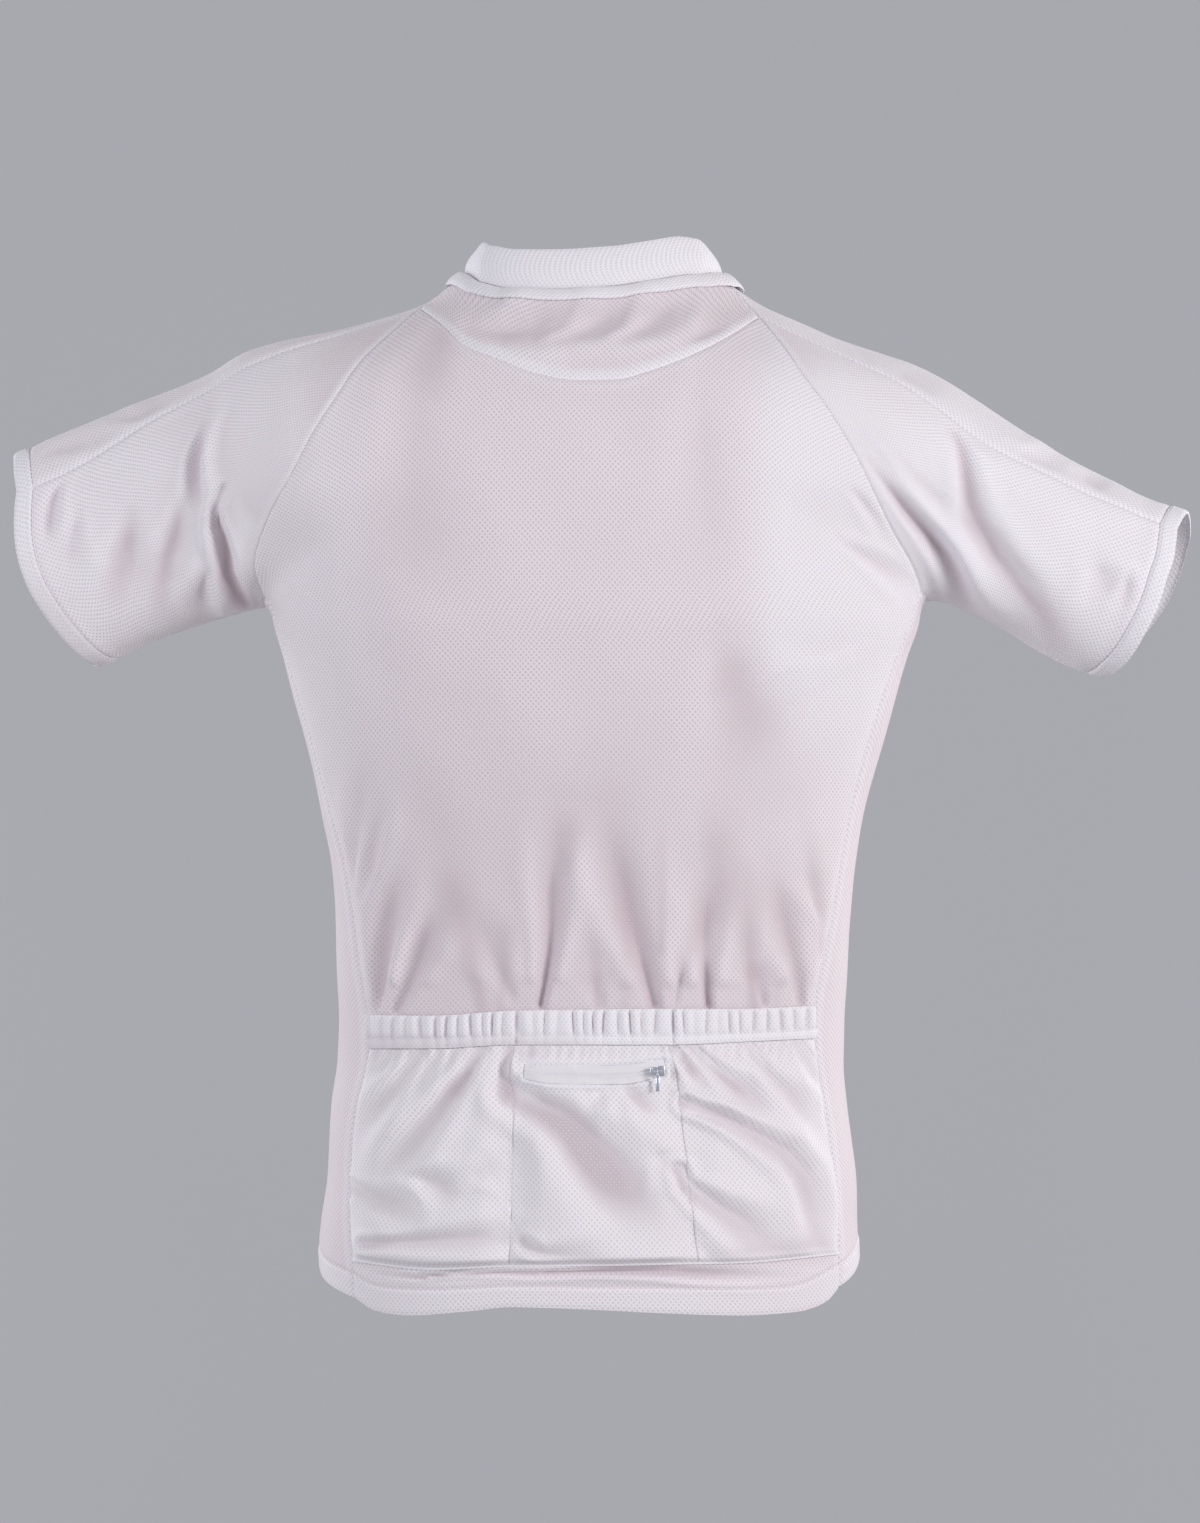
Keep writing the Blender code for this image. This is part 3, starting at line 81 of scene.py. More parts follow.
# Cloth
CLOTH = 1.2  # wall of one layer of knit with its loft
LAYER_GAP = 0.5
HEM_FOLD = 2.2
HEM_DEPTH = 16.0
COLLAR_WALL = 2.2
CUFF_DEPTH = 12.0
CUFF_WALL = 1.7
STRIP_AT_NECK = 27.0
STRIP_AT_APEX = 52.0
STRIP_WIDTH = 68.0
BAND_ROLL = 2.0
BAND_SEAMS = (-50.0, 51.0)  # where the band is sewn down between its pockets
POCKET_FULLNESS = 4.5
POCKET_SAG = 4.2
POCKET_COLUMNS = (66, 72, 62)  # steps across each pocket
POCKET_ROWS = 110
BAND_STEPS = 380  # along the pocket band
ZIP_STEPS = 840  # along the front zip
POCKET_ZIP_POINTS = 120
ZIP_HALF = 2.6
ZIP_GAP = 2.9  # from the middle to the edge of each front
PIT_ACROSS = 219.0  # from the middle to the deepest point of each armpit

# Where the flat drawing is looked at from
SIGHT_DISTANCE = 3000.0
SIGHT_ACROSS = 4.0
SIGHT_HEIGHT = -327.0

# Steps along each seam of the pattern, before they are made finer
N_ACROSS = 24  # across the back
N_NECK = 4  # neckline to the top of the raglan seam
N_RAGLAN = 8
N_ARMPIT = 3  # from each body seam to the underarm seam
N_SLEEVE = 12  # along a sleeve
N_RIDGE = 3  # across a shoulder strip
N_FRONT = 6  # across each front
N_WAIST = 9  # armpit to the pocket band
N_POCKET = 5  # pocket band to the pocket bottom
N_HEM = 2

# Body: height, half width, centre across, depth behind, depth in front
TORSO = (
    (43.5, 74, -1, 44, 44), (18.5, 78, -1, 51, 48), (9.5, 82, -1, 54, 49), (2.5, 89, -1, 57, 50),
    (-1, 93, -1, 58, 51), (-13.5, 105, 1, 66, 52), (-30, 137, 0.5, 80, 56),
    (-56.5, 175, 0.5, 98, 66), (-93.5, 203.5, 0.5, 112, 84), (-140, 215.5, 0.5, 117, 100),
    (-180, 219, 1.5, 117, 108), (-220, 215.5, 1.5, 116, 112), (-246.5, 207.5, 1, 113, 112),
    (-273.5, 200, 0.5, 110, 111), (-300, 192.5, 0, 107, 109), (-326.5, 185.5, -0.5, 104, 107),
    (-353.5, 179.5, -1, 101, 105), (-380, 175, -0.5, 98, 103), (-406.5, 172.5, -0.5, 96, 101),
    (-433.5, 170.5, -1, 95, 100), (-460, 169.5, -1.5, 95, 99), (-486.5, 168.5, -2, 96, 99),
    (-513.5, 168.5, -2.5, 99, 99), (-540, 171, -3, 103, 100), (-566.5, 173.5, -2.5, 107, 101),
    (-593.5, 176, -1.5, 110, 102), (-620, 178.5, -2.5, 112, 103), (-636.5, 179.5, -3, 112, 103),
    (-673.5, 178, -3, 111, 103), (-700, 176, -3, 110, 102),
)

# How square the ovals of the body and of the sleeves are, and where the sleeves stop inside it
BODY_SQUARE, SLEEVE_SQUARE = 2.25, 2.1
SLEEVE_INSIDE = 70
THINNEST = 5

# Sleeves: across, top, bottom, centre in depth, half depth
SLEEVE = {
    "left": (
        (-400.5, -112, -277, 34, 42), (-380, -104, -269, 30, 42), (-363.5, -97, -262, 27, 42),
        (-322, -80.5, -246, 20, 44), (-289.5, -68.5, -232, 14, 48), (-256.5, -55.5, -221, 8, 54),
        (-232.5, -42, -214.5, 4, 61), (-216, -36.5, -210.5, 2, 65), (-196, -32, -206.5, 0, 69),
        (-169.5, -27.5, -200, 0, 72), (-140, -20, -186.5, 0, 70), (-105.5, -9, -166.5, 0, 60),
        (-82.5, 2, -140, 0, 50),
    ),
    "right": (
        (82.5, 2, -140, 0, 50), (96, -6, -160, 0, 58), (111.5, -14, -173.5, 0, 64),
        (131.5, -22, -186.5, 0, 69), (157.5, -32.5, -194.5, 0, 72), (188, -42, -201.5, 0, 72),
        (216, -51.5, -205.5, 0, 67), (233.5, -60.5, -208.5, 0, 63), (252, -72.5, -216.5, 0, 59),
        (276, -88.5, -228.5, -1, 56), (300, -103.5, -243.5, -2, 54), (323.5, -117.5, -254, -3, 52),
        (347.5, -129.5, -260, -4, 51), (363.5, -137.5, -268, -5, 50), (395, -149, -283.5, -6, 50),
    ),
}

# Where the back of each shoulder strip meets the neckline: across, depth, height
NECK_POINT = {"left": (-84, -17, 8), "right": (83, -17, 8)}

# Seams as drawn from behind: (across, height)
NECKLINE = ((-76, 4.5), (-56.5, 0.5), (-26, 0), (12.5, 2), (40, 6), (64.5, 9.5), (72, 9.5))
YOKE_SEAM = (
    (-115.5, -12.5), (-102, -22.5), (-87.5, -36), (-64.5, -45.5), (-38.5, -55.5), (-12.5, -60),
    (16, -59.5), (32, -55.5), (64.5, -43.5), (88.5, -31.5), (110, -18),
)
STRIP_NECK = {
    "left": ((-96.5, 2), (-108, -6.5), (-115.5, -12.5)),
    "right": ((96, -2.5), (105.5, -13), (110, -18)),
}
STRIP_SEAM = {
    "left": (
        (-115.5, -12.5), (-129.5, -17.5), (-146, -22), (-176.5, -33.5), (-212, -44.5),
        (-238, -56), (-258, -67.5), (-288.5, -82.5), (-319.5, -103.5), (-352.5, -124),
        (-374, -131.5),
    ),
    "right": (
        (110, -18), (116, -20.5), (131.5, -29.5), (157.5, -40.5), (182.5, -52), (208, -65.5),
        (228.5, -78), (246.5, -93.5), (272, -108.5), (302.5, -122.5), (336, -138),
        (377.5, -155.5),
    ),
}
RAGLAN_SEAM = {
    "left": (
        (-115.5, -12.5), (-130, -24), (-150, -41.5), (-168.5, -66), (-183.5, -88.5),
        (-206.5, -132), (-218, -154), (-225.5, -172.5), (-226.5, -183), (-220, -205.5),
    ),
    "right": (
        (110, -18), (124, -34.5), (147.5, -68), (162.5, -88.5), (179.5, -120), (193.5, -149.5),
        (209.5, -180), (217.5, -191.5), (218.5, -201.5),
    ),
}
# The side seam in four lengths: to the band, to the pocket bottom, to the hem stitching, to the edge
SIDE_SEAM = {
    "left": (
        (
            (-220, -205.5), (-214, -223.5), (-206, -244.5), (-196.5, -268), (-187.5, -308.5),
            (-178, -340), (-170.5, -364.5), (-166.5, -385.5), (-161.5, -416), (-156.5, -456.5),
            (-151.5, -483.5),
        ),
        (
            (-151.5, -483.5), (-149.5, -506.5), (-156, -533.5), (-160, -553.5), (-162, -573.5),
            (-163.5, -603.5), (-163.5, -628.5), (-161.5, -646),
        ),
        ((-161.5, -646), (-160.5, -655.5)),
        ((-160.5, -655.5), (-159.5, -672)),
    ),
    "right": (
        (
            (218.5, -201.5), (213.5, -210.5), (203.5, -238.5), (194, -269.5), (186.5, -286),
            (176.5, -326.5), (167.5, -370), (160, -416), (152, -454), (147.5, -477.5),
        ),
        (
            (147.5, -477.5), (147.5, -504), (152.5, -536.5), (159.5, -582.5), (162.5, -618.5),
            (163.5, -641.5),
        ),
        ((163.5, -641.5), (163.5, -650)),
        ((163.5, -650), (163.5, -664.5)),
    ),
}
BAND_LINE = (
    (-151.5, -483.5), (-107.5, -484), (-51.5, -480.5), (-5.5, -480), (50.5, -479.5),
    (96.5, -479.5), (147.5, -477.5),
)
TUNNEL_LINE = ((-149.5, -500), (-107.5, -500), (-51.5, -498), (50.5, -498), (96.5, -496.5), (147, -493.5))
LOWER_BAND_LINE = (
    (-149, -506.5), (-107.5, -506.5), (-51.5, -504), (50.5, -504), (96.5, -502), (147, -499.5),
)
POCKET_BOTTOM = (
    (-161.5, -646), (-107.5, -652), (-56, -650), (-5.5, -649.5), (46, -648.5), (96.5, -647.5),
    (163.5, -641.5),
)
STITCH_LINE = (
    (-160.5, -655.5), (-142.5, -664.5), (-107.5, -666.5), (-56, -664.5), (20, -665.5),
    (96.5, -666), (130, -664.5), (163.5, -650),
)
HEM_LINE = (
    (-159.5, -672), (-145, -681), (-122.5, -684), (-86.5, -681.5), (-56, -678.5), (-5, -680),
    (46, -682.5), (96.5, -684), (135.5, -681.5), (155, -674.5), (163.5, -664.5),
)
POCKET_SIDE = {
    "left": (
        (-149, -506.5), (-155, -533.5), (-159, -553.5), (-161, -573.5), (-162, -603.5),
        (-162, -628.5), (-160, -646),
    ),
    "right": (
        (147, -499.5), (151.5, -536.5), (158.5, -582.5), (161.5, -618.5), (162, -641.5),
    ),
}
DIVIDER = {
    "left": ((-53.5, -504), (-55.5, -526.5), (-53, -538.5), (-54, -593.5), (-56, -650)),
    "right": ((49.5, -504), (54.5, -523.5), (57.5, -553.5), (64, -606.5), (68.5, -648)),
}
CUFF_SEAM = {
    "left": (
        (-374, -131.5), (-374, -156.5), (-372, -174.5), (-362.5, -195.5), (-347.5, -220.5),
        (-332, -238.5),
    ),
    "right": (
        (377.5, -155.5), (374, -178.5), (368.5, -198.5), (357.5, -222), (344, -243.5),
        (336, -251),
    ),
}
CUFF_ENDS = {"left": (-378, -319.5), "right": (384, 328)}  # across: at the top, at the underarm
CUFF_FRONT_REACH = {"left": 0.0, "right": 18.0}  # how much further the front of each sleeve goes
# The neckline over each shoulder and down to the zip: across, depth, height
NECK_FRONT = (
    (84, 10, 5), (80, 26, -5), (68, 42, -21), (45, 54, -40), (20, 61, -53), (2.9, 62, -57),
)
# Collar: angle round the neck from the back, height, how far its top leans in
COLLAR = (
    (0, 27, 4.5), (45, 25.7, 5), (62, 23, 7), (80, 18.5, 9.5), (100, 18.5, 10), (135, 22, 7),
    (180, 26, 4),
)
# Tape over the neck seam: angle round the neck from the back, width
TAPE = ((0, 10), (45, 10.5), (90, 17), (135, 12), (180, 10))
HEM_AT_SIDE = {"left": -651, "right": -645}
HEM_AT_FRONT_SEAM = -645
HEM_AT_FRONT = -622
# Where the hem runs, across and in depth: at each side, halfway along each front and at the zip
HEM_SIDE_ACROSS, HEM_CENTRE = 178.0, -3
HEM_HALFWAY = (95.0, 92.0)
HEM_ZIP_DEPTH = 103.0
NECK_HALF = (84, 58)  # half width and half depth of the neck

# Creases: half width, depth, then across and height of each point of the valley from behind
CREASES = {
    "back": (
        (4, 2.4, 152, -515, 157.5, -533, 164.5, -551),
        (5, 2.8, 162, -571.5, 171, -589.5, 175.5, -605.5),
        (4, 2.4, 161, -640, 169, -630, 177, -626),
        (4, 3.0, -180, -629, -168, -634, -156, -638),
        (6, 2.0, -172, -560, -168, -585, -170, -606),
        (5, 3.0, 54, -478.5, 57.5, -459, 63, -438.5, 66.5, -416),
        (7, 6.2, -147.5, -481.5, -144, -466.5, -140.5, -440, -134.5, -406.5, -128, -380),
        (8, 5.0, -132.5, -480, -124, -463.5, -116, -440, -107.5, -406.5),
        (5, 2.5, -161.5, -393.5, -158.5, -366.5, -156, -340, -152.5, -313.5),
        (5, 2.8, -154.5, -406.5, -149.5, -386.5, -146, -360, -142, -326.5),
        (10, 2.3, -56, -470, -66, -450, -76, -426.5, -82.5, -400),
        (8, 5.6, -36, -477.5, -32.5, -460, -29.5, -440, -28, -420, -27.5, -393.5, -26, -340),
        (9, 2.5, 4, -476, 0.5, -463.5, -4, -453.5),
        (11, 5.8, 40.5, -477.5, 36, -460, 30.5, -440, 24, -420, 17.5, -393.5, 4, -346.5),
        (8, 5.9, 76.5, -478.5, 74.5, -453.5, 74.5, -426.5, 77.5, -400, 78.5, -380),
        (8, 3.7, 114, -474.5, 108.5, -456.5, 105.5, -446.5),
        (8, 4.8, 139.5, -476, 135.5, -453.5, 129.5, -426.5, 124, -400, 121.5, -383.5),
        (6, 2.8, 152.5, -423.5, 147.5, -400, 140.5, -380),
        (26, 3.4, 94, -233.5, 100.5, -266.5, 117.5, -293.5, 137.5, -313.5),
        (20, 2.2, 68, -53.5, 73, -106.5, 76, -173.5, 79, -233.5),
        (24, 2.0, -124, -53.5, -124, -113.5, -123, -180, -122, -233.5),
        (5, 2.5, 172, -133.5, 187.5, -150, 202, -168.5),
        (5, 3.1, 162.5, -166.5, 184, -180, 204, -193.5, 217.5, -200.5),
    ),
    "yoke": (
        (10, 4.2, -82, -24, -60, -27, -42, -24, -26, -16, -14, -8),
        (9, 4.0, -22, -30, -4, -24, 12, -15, 26, -5),
        (9, 4.0, 20, -31, 36, -22, 50, -12, 63, -3),
        (8, 2.4, 62, -34, 76, -27, 92, -18),
        (5, -1.6, -36, -33, -16, -26, 2, -15, 12, -7),
        (5, -1.4, 6, -33, 22, -26, 38, -15, 46, -7),
    ),
    "pocket": (
        (5, 2.2, -132, -506, -137.5, -513.5, -142.5, -520, -148, -526.5),
        (6, 4.4, -114, -508, -132, -534, -142, -548, -149, -559, -153, -572),
        (5, 2.2, -104, -509.5, -112.5, -523.5, -122.5, -536.5),
        (7, 6.4, -75, -504.5, -84, -522, -96, -540, -108, -556, -121, -572, -135, -589, -146, -604),
        (5, 4.5, -59, -507, -60, -520, -61, -534, -64, -548),
        (8, 4.8, -161.5, -598.5, -142.5, -608.5, -126, -612, -110.5, -616),
        (8, 4.5, -121.5, -591.5, -106, -595.5, -92.5, -603.5, -86.5, -608.5),
        (7, 2.2, -84, -593.5, -69.5, -586.5, -58, -585.5),
        (6, 4.6, -150, -636, -109.5, -634.5, -76, -632, -56, -632, -30.5, -642.5),
        (7, 3.4, -52.5, -507, -45, -512, -38, -518),
        (16, 9.0, -54, -538, -40, -546, -27, -553, -16, -562, -7, -572, 2, -582, 11, -592, 22, -602,
         34, -613, 48, -624),
        (7, 3.2, 8, -533, 0, -540, -12, -545),
        (7, 3.2, 22.5, -532, 34, -543.5, 48.5, -554),
        (7, 3.8, -46, -636, -34, -643, -10, -645, 20, -645.5),
        (8, 2.9, 38.5, -574.5, 56, -592),
        (5, 6.0, 52, -505, 61, -515, 68, -524, 76, -534, 84, -541),
        (6, 7.5, 62, -504, 73, -515, 84, -525, 97, -535, 110, -545.5, 121, -556),
        (6, 4.8, 102.5, -506, 114, -523.5, 130.5, -540, 144, -556.5, 152, -568),
        (7, 9.0, 59.5, -543, 73, -548.5, 86, -554, 99, -561, 112, -569, 125, -577, 135.5, -590,
         141, -604, 145, -621, 148, -640, 150, -660),
        (8, 7.6, 56, -588, 60, -598, 71, -607, 84, -616, 97, -624, 110, -631.5, 124, -639),
        (5, 3.6, 133, -501, 139, -512, 147, -523, 155, -536),
    ),
    "sleeve": (
        (4.5, 4.2, -257, -88, -262.5, -100, -266, -114, -266, -130, -262, -145, -259, -157),
        (5, 8.0, -248, -132, -253.5, -147, -252.5, -158, -249.5, -167, -246, -180, -245, -190,
         -240, -202, -232, -216, -222, -230),
        (7, -1.6, -241, -136, -239, -152, -232, -168, -224, -180),
        (6, -2.4, -243, -66.5, -253.5, -91, -258.5, -112.5, -259, -130.5, -257, -144.5, -258.5, -164.5,
         -266, -179.5, -275, -193.5),
        (8, 4.2, -256, -180, -259, -195, -262, -210, -263, -226),
        (12, 2.6, -310.5, -150, -310.5, -179.5, -305.5, -202.5, -298, -212),
        (8, 3.0, -272, -138, -277, -150, -280, -165, -286, -180, -288, -196, -287, -210),
        (5, 3.0, -355, -121, -361.5, -143, -365.5, -164.5, -367, -178),
        (7, 2.2, -345, -148, -350, -173.5, -352.5, -192),
        (5.5, 4.4, 182, -114, 190, -124, 201, -138, 212, -152, 224, -166, 235, -180, 241, -192,
         246, -206, 252, -217, 262, -228),
        (6, -2.8, 183, -94.5, 209.5, -132, 231, -157, 249, -182, 265, -207, 281, -225),
        (8, 5.2, 226, -74, 236, -88, 243, -101, 247, -116, 249.5, -130, 251.5, -144, 255, -155,
         262, -167, 268.5, -180, 279, -194, 290, -208, 301, -222, 312, -237),
        (12, 2.6, 334.5, -180, 340, -196, 347, -212),
        (5, 2.2, 357, -188, 354.5, -207, 350, -221),
    ),
    "strip": (
        (6, 2.2, -373, -112.5, -358, -105.5, -341, -103, -325.5, -98, -310.5, -88),
        (6, 3.0, -322.5, -85.5, -304, -83.5, -286, -75.5, -275, -69.5),
        (5, 2.4, -352, -121, -338, -116, -322, -108),
        (7, 3.4, 276, -106, 284.5, -110.5, 302.5, -117.5, 317, -124),
        (6, 2.6, 322, -121, 334, -127, 346, -134),
        (8, 2.0, 196, -52, 214, -60, 236, -72),
    ),
    # Painted shade where the back, the sleeves and the pockets only look deeper: these darken the knit's
    # colour and leave the cloth flat
    "back_shade": (
        (13, 6.0, -74, -478, -80, -452, -87, -425, -93, -398, -97, -365),
        (9, 5.5, -62, -478, -60, -445, -58, -400),
        (6, 4.0, 2, -478, 2, -450, 0, -420),
        (9, 3.5, -17, -398, -16, -372, -14, -340),
        (10, 2.2, 21, -478, 20, -440, 21, -400, 23, -340),
        (7, 5.0, 45, -441, 45, -410, 45, -380, 45, -340),
        (13, 4.0, 86, -441, 84, -400, 82, -375, 79, -330),
        (10, 6.5, 107, -478, 104, -450, 102, -415, 102, -365),
        (8, 3.5, 121, -478, 119, -440),
        (7, 3.5, 151, -441, 150, -415, 146, -380, 140, -340),
        (20, 3.5, 84, -225, 92, -262, 106, -298, 118, -330),
        (16, 4.5, -92, -12, -98, -26, -106, -50, -116, -84),
    ),
    "sleeve_shade": (
        (7, 9.0, -248, -166, -246, -180, -244, -192, -238, -203, -226, -214, -212, -222),
        (6, 2.5, -262, -100, -267, -118, -267, -134, -264, -150),
        (12, 4.5, -308, -150, -314, -175, -317, -200, -316, -222),
        (8, 5.5, -279, -160, -286, -180, -288.5, -196, -286, -212, -282, -226),
        (6, 3.5, -258, -184, -251, -196, -246, -208),
        (6, 2.0, 206, -145, 212, -152, 224, -166, 235, -180, 241, -192, 246, -206, 252, -220),
        (8, 2.5, 244, -98, 248, -118, 251, -136, 255, -155, 264, -170, 275, -190),
        (7, 4.5, 276, -190, 290, -208, 301, -222, 311, -236, 316, -244),
        (6, 3.0, 270, -160, 283, -180, 295, -194, 303, -208, 314, -222, 322, -236),
    ),
    "pocket_shade": (
        (15, 7.5, -54, -538, -43, -546, -31, -552, -20, -560, -11, -570, -3, -579, 6, -589, 16, -598,
         26, -606, 36, -614, 48, -623),
        (9, 5.0, -46, -531, -30, -537, -17, -541, -7, -548, 1, -558, 9, -571),
        (5, 5.0, 18, -530, 22, -536, 34, -547, 42, -553),
        (6, 3.0, 42, -578, 49, -585, 56, -592),
        (5.5, 8.5, -55, -496, -55, -510, -57, -526, -60, -546),
        (6, 5.0, -43, -502, -41, -508, -38, -514),
        (6, 4.0, 20, -527, 26, -534, 34, -542),
        (8, 5.5, -78, -516, -86, -530, -96, -545),
        (4, 7.5, 57, -504, 61, -513, 65, -520, 72, -528),
        (4, 5.0, 76, -516, 85, -525, 96, -533, 107, -541),
        (8, 4.5, 152, -540, 160, -560, 162, -585, 161, -612),
    ),
    "hem": (
        (2.0, 3.4, -147, -654.5, -135, -658, -116, -659, -106, -657, -92, -655, -64, -655, -40, -656,
         4, -654.5, 70, -655),
        (3.2, 5.0, -34, -655.5, 0, -654.5, 21, -654, 39, -654, 69, -656, 104, -657.5, 134, -657.5),
        (2.2, -2.4, -150, -650.5, -132, -654.5, -116, -655.2, -98, -652.8, -56, -652.8, -16, -652,
         20, -651),
    ),
    # The fronts, as they show from in front
    "front": (
        (9, 3.4, -150, -210, -128, -228, -104, -242),
        (9, 3.1, 150, -206, 130, -226, 108, -238),
        (10, 3.9, -118, -628, -112, -585, -104, -540),
        (9, 3.4, -72, -622, -70, -580, -64, -530, -60, -500),
        (8, 2.9, -34, -616, -36, -585, -34, -555),
        (9, 3.6, 38, -618, 42, -580, 40, -535),
        (10, 3.6, 84, -622, 80, -575, 74, -530, 72, -500),
        (9, 3.9, 124, -632, 118, -590, 112, -548),
        (16, 2.6, -96, -300, -112, -340, -120, -390),
        (16, 2.6, 100, -310, 114, -350, 122, -400),
        (7, 2.3, -40, -84, -30, -110, -20, -130),
        (7, 2.3, 44, -88, 32, -112, 20, -134),
    ),
}

# Zip of the middle pocket, as it shows from behind: across, top, bottom
POCKET_ZIP = (
    (-46, -516.5, -527), (-28, -517, -530.5), (0, -517.5, -531),
    (22, -516.5, -530.5), (36, -514.5, -527.5), (46.5, -513, -524.5),
)

# Camera: where it stands and its lens
CAMERA_PLACE = (0.004, -3.0, -0.327)
CAMERA_LENS = 135.0
CAMERA_SHIFT = 18.5 / 1200


def ease(x, start, end):
    t = np.clip((x - start) / (end - start), 0.0, 1.0)
    return t * t * (3 - 2 * t)


def bell(x, width):
    """1 where x is nothing, falling away over this width on both sides."""
    return np.exp(-((x / width) ** 2))


def through(x, table, column):
    """A smooth curve through one column of a table, read at x (the table's first column)."""
    rows = np.array(sorted(table, key=lambda row: row[0]), float)
    at, value = rows[:, 0], rows[:, column]
    step = np.diff(at)
    slope = np.diff(value) / step
    tangent = np.zeros_like(value)
    tangent[0], tangent[-1] = slope[0], slope[-1]
    same = slope[:-1] * slope[1:] > 0
    first, second = 2 * step[1:] + step[:-1], step[1:] + 2 * step[:-1]
    with np.errstate(divide="ignore", invalid="ignore"):
        mean = (first + second) / (first / slope[:-1] + second / slope[1:])
    tangent[1:-1] = np.where(same, mean, 0.0)
    i = np.clip(np.searchsorted(at, x) - 1, 0, len(at) - 2)
    u = (x - at[i]) / step[i]
    c = np.clip(u, 0, 1)
    found = (2 * c**3 - 3 * c**2 + 1) * value[i] + (3 * c**2 - 2 * c**3) * value[i + 1]
    found += step[i] * ((c**3 - 2 * c**2 + c) * tangent[i] + (c**3 - c**2) * tangent[i + 1])
    return found + np.where(u > 1, (x - at[i + 1]) * tangent[i + 1], 0.0) + np.where(
        u < 0, (x - at[i]) * tangent[i], 0.0
    )


def oval(u, v, a, b, square):
    """Signed distance, near enough, from the oval (u/a)^square + (v/b)^square = 1."""
    u, v = np.abs(u) / a, np.abs(v) / b
    r = (u**square + v**square) ** (1 / square) + 1e-9
    steep = r ** (1 - square) * np.hypot(u ** (square - 1) / a, v ** (square - 1) / b)
    return (r - 1) / np.maximum(steep, 1 / 260)


def blend(a, b, reach):
    h = np.clip(0.5 + 0.5 * (b - a) / reach, 0, 1)
    return b * (1 - h) + a * h - reach * h * (1 - h)


def form(p):
    """Signed distance, near enough, from the filled-out garment; p is (..., 3)."""
    x, y, z = p[..., 0], p[..., 1], p[..., 2]
    depth = np.maximum(np.where(y < 0, through(z, TORSO, 3), through(z, TORSO, 4)), THINNEST)
    wide = np.maximum(through(z, TORSO, 1), THINNEST)
    found = oval(x - through(z, TORSO, 2), y, wide, depth, BODY_SQUARE)
    reach = 10 + 44 * ease(z, -200, -130) - 34 * ease(z, -70, -20)
    for side, way in SIDES.items():
        top, bottom, centre, deep = (through(x, SLEEVE[side], column) for column in (1, 2, 3, 4))
        half = (np.maximum(size, THINNEST) for size in ((top - bottom) / 2, deep))
        tube = 0.93 * oval(z - (top + bottom) / 2, y - centre, *half, SLEEVE_SQUARE)
        found = blend(found, np.maximum(tube, SLEEVE_INSIDE - way * x), reach)
    return found


def slope_of(p, reach, axes=(0, 1, 2)):
    """How fast the form's distance grows along each axis, read this far to both sides of p."""
    found = np.zeros_like(p)
    for axis in axes:
        step = np.zeros(3)
        step[axis] = reach
        found[..., axis] = (form(p + step) - form(p - step)) / (2 * reach)
    return found


def unit(vectors):
    return vectors / np.linalg.norm(vectors, axis=-1, keepdims=True)


def outward(p):
    """The form's unit normal at p, evened out over a few millimetres."""
    return unit(slope_of(p, 4.0))


def settle(p, times=7, axes=(0, 1, 2)):
    """Points moved on to the form, along these axes only."""
    p = np.array(p, float)
    for _ in range(times):
        slope = slope_of(p, 0.25, axes)
        size = np.maximum(np.sum(slope**2, axis=-1, keepdims=True), 0.05)
        p -= np.clip(form(p)[..., None] / size, -6, 6) * slope
    return p


def sighted(drawn, side=-1):
    """Drawn points (..., 2) carried on to the form from behind (side -1) or from in front (1)."""
    drawn = np.asarray(drawn, float)
    eye = np.array([SIGHT_ACROSS, side * SIGHT_DISTANCE, SIGHT_HEIGHT])
    aim = unit(np.stack([drawn[..., 0], 0 * drawn[..., 0], drawn[..., 1]], axis=-1) - eye)
    far = (SIGHT_DISTANCE - 200) / np.abs(aim[..., 1])
    nearest, at = np.full(far.shape, 1e9), far.copy()
    done = np.zeros(far.shape, bool)
    for _ in range(90):
        gap = form(eye + aim * far[..., None])
        closer = (gap < nearest) & ~done
        nearest, at = np.where(closer, gap, nearest), np.where(closer, far, at)
        done |= gap < 0.02
        far = np.where(done, far, far + np.maximum(0.6 * gap, 0.05))
    return settle(eye + aim * at[..., None])


def lengths_along(points):
    """Length of a polyline from its first point to each of its points."""
    return np.concatenate([[0], np.cumsum(np.linalg.norm(np.diff(points, axis=0), axis=1))])


def read_at(at, length, values):
    """Rows of a table of values, read at these lengths."""
    return np.stack([np.interp(at, length, column) for column in values.T], axis=-1)


def smoothed(line, share, times):
    """Values evened out along a line of them, its two ends kept."""
    line = line.copy()
    for _ in range(times):
        line[1:-1] += share * (line[:-2] + line[2:] - 2 * line[1:-1])
    return line


def even(points, count):
    """count + 1 points at equal lengths along a polyline."""
    points = np.asarray(points, float)
    length = lengths_along(points)
    return read_at(np.linspace(0, length[-1], count + 1), length, points)


def curve(points, count=120):
    """A smooth curve through a few points, as count + 1 even points."""
    points = np.asarray(points, float)
    table = np.column_stack([lengths_along(points), points])
    at = np.linspace(0, table[-1, 0], 240)
    columns = range(1, table.shape[1])
    return even(np.stack([through(at, table, column) for column in columns], axis=1), count)


def seam(drawn, count, side=-1):
    """A drawn line on the form, as count + 1 even points."""
    return settle(even(sighted(curve(drawn), side), count))


def steadied(drawn, count, first=None, rounds=200):
    """A seam near the edge of the view, from a stated first point if there is one."""
    points = sighted(curve(drawn))
    if first is not None:
        points = even(np.vstack([first, points]), 120)
    return settle(even(calm(points, rounds), count))


def calm(points, rounds):
    """A line's depths smoothed where it runs along the edge of the view and they can't be read."""
    points = points.copy()
    points[:, 1] = smoothed(points[:, 1], 0.25, rounds)
    return settle(points, 7, (0, 2))


def over(points, count):
    """A curve through a few points near the form, laid on the form."""
    return settle(even(settle(curve(points)), count))


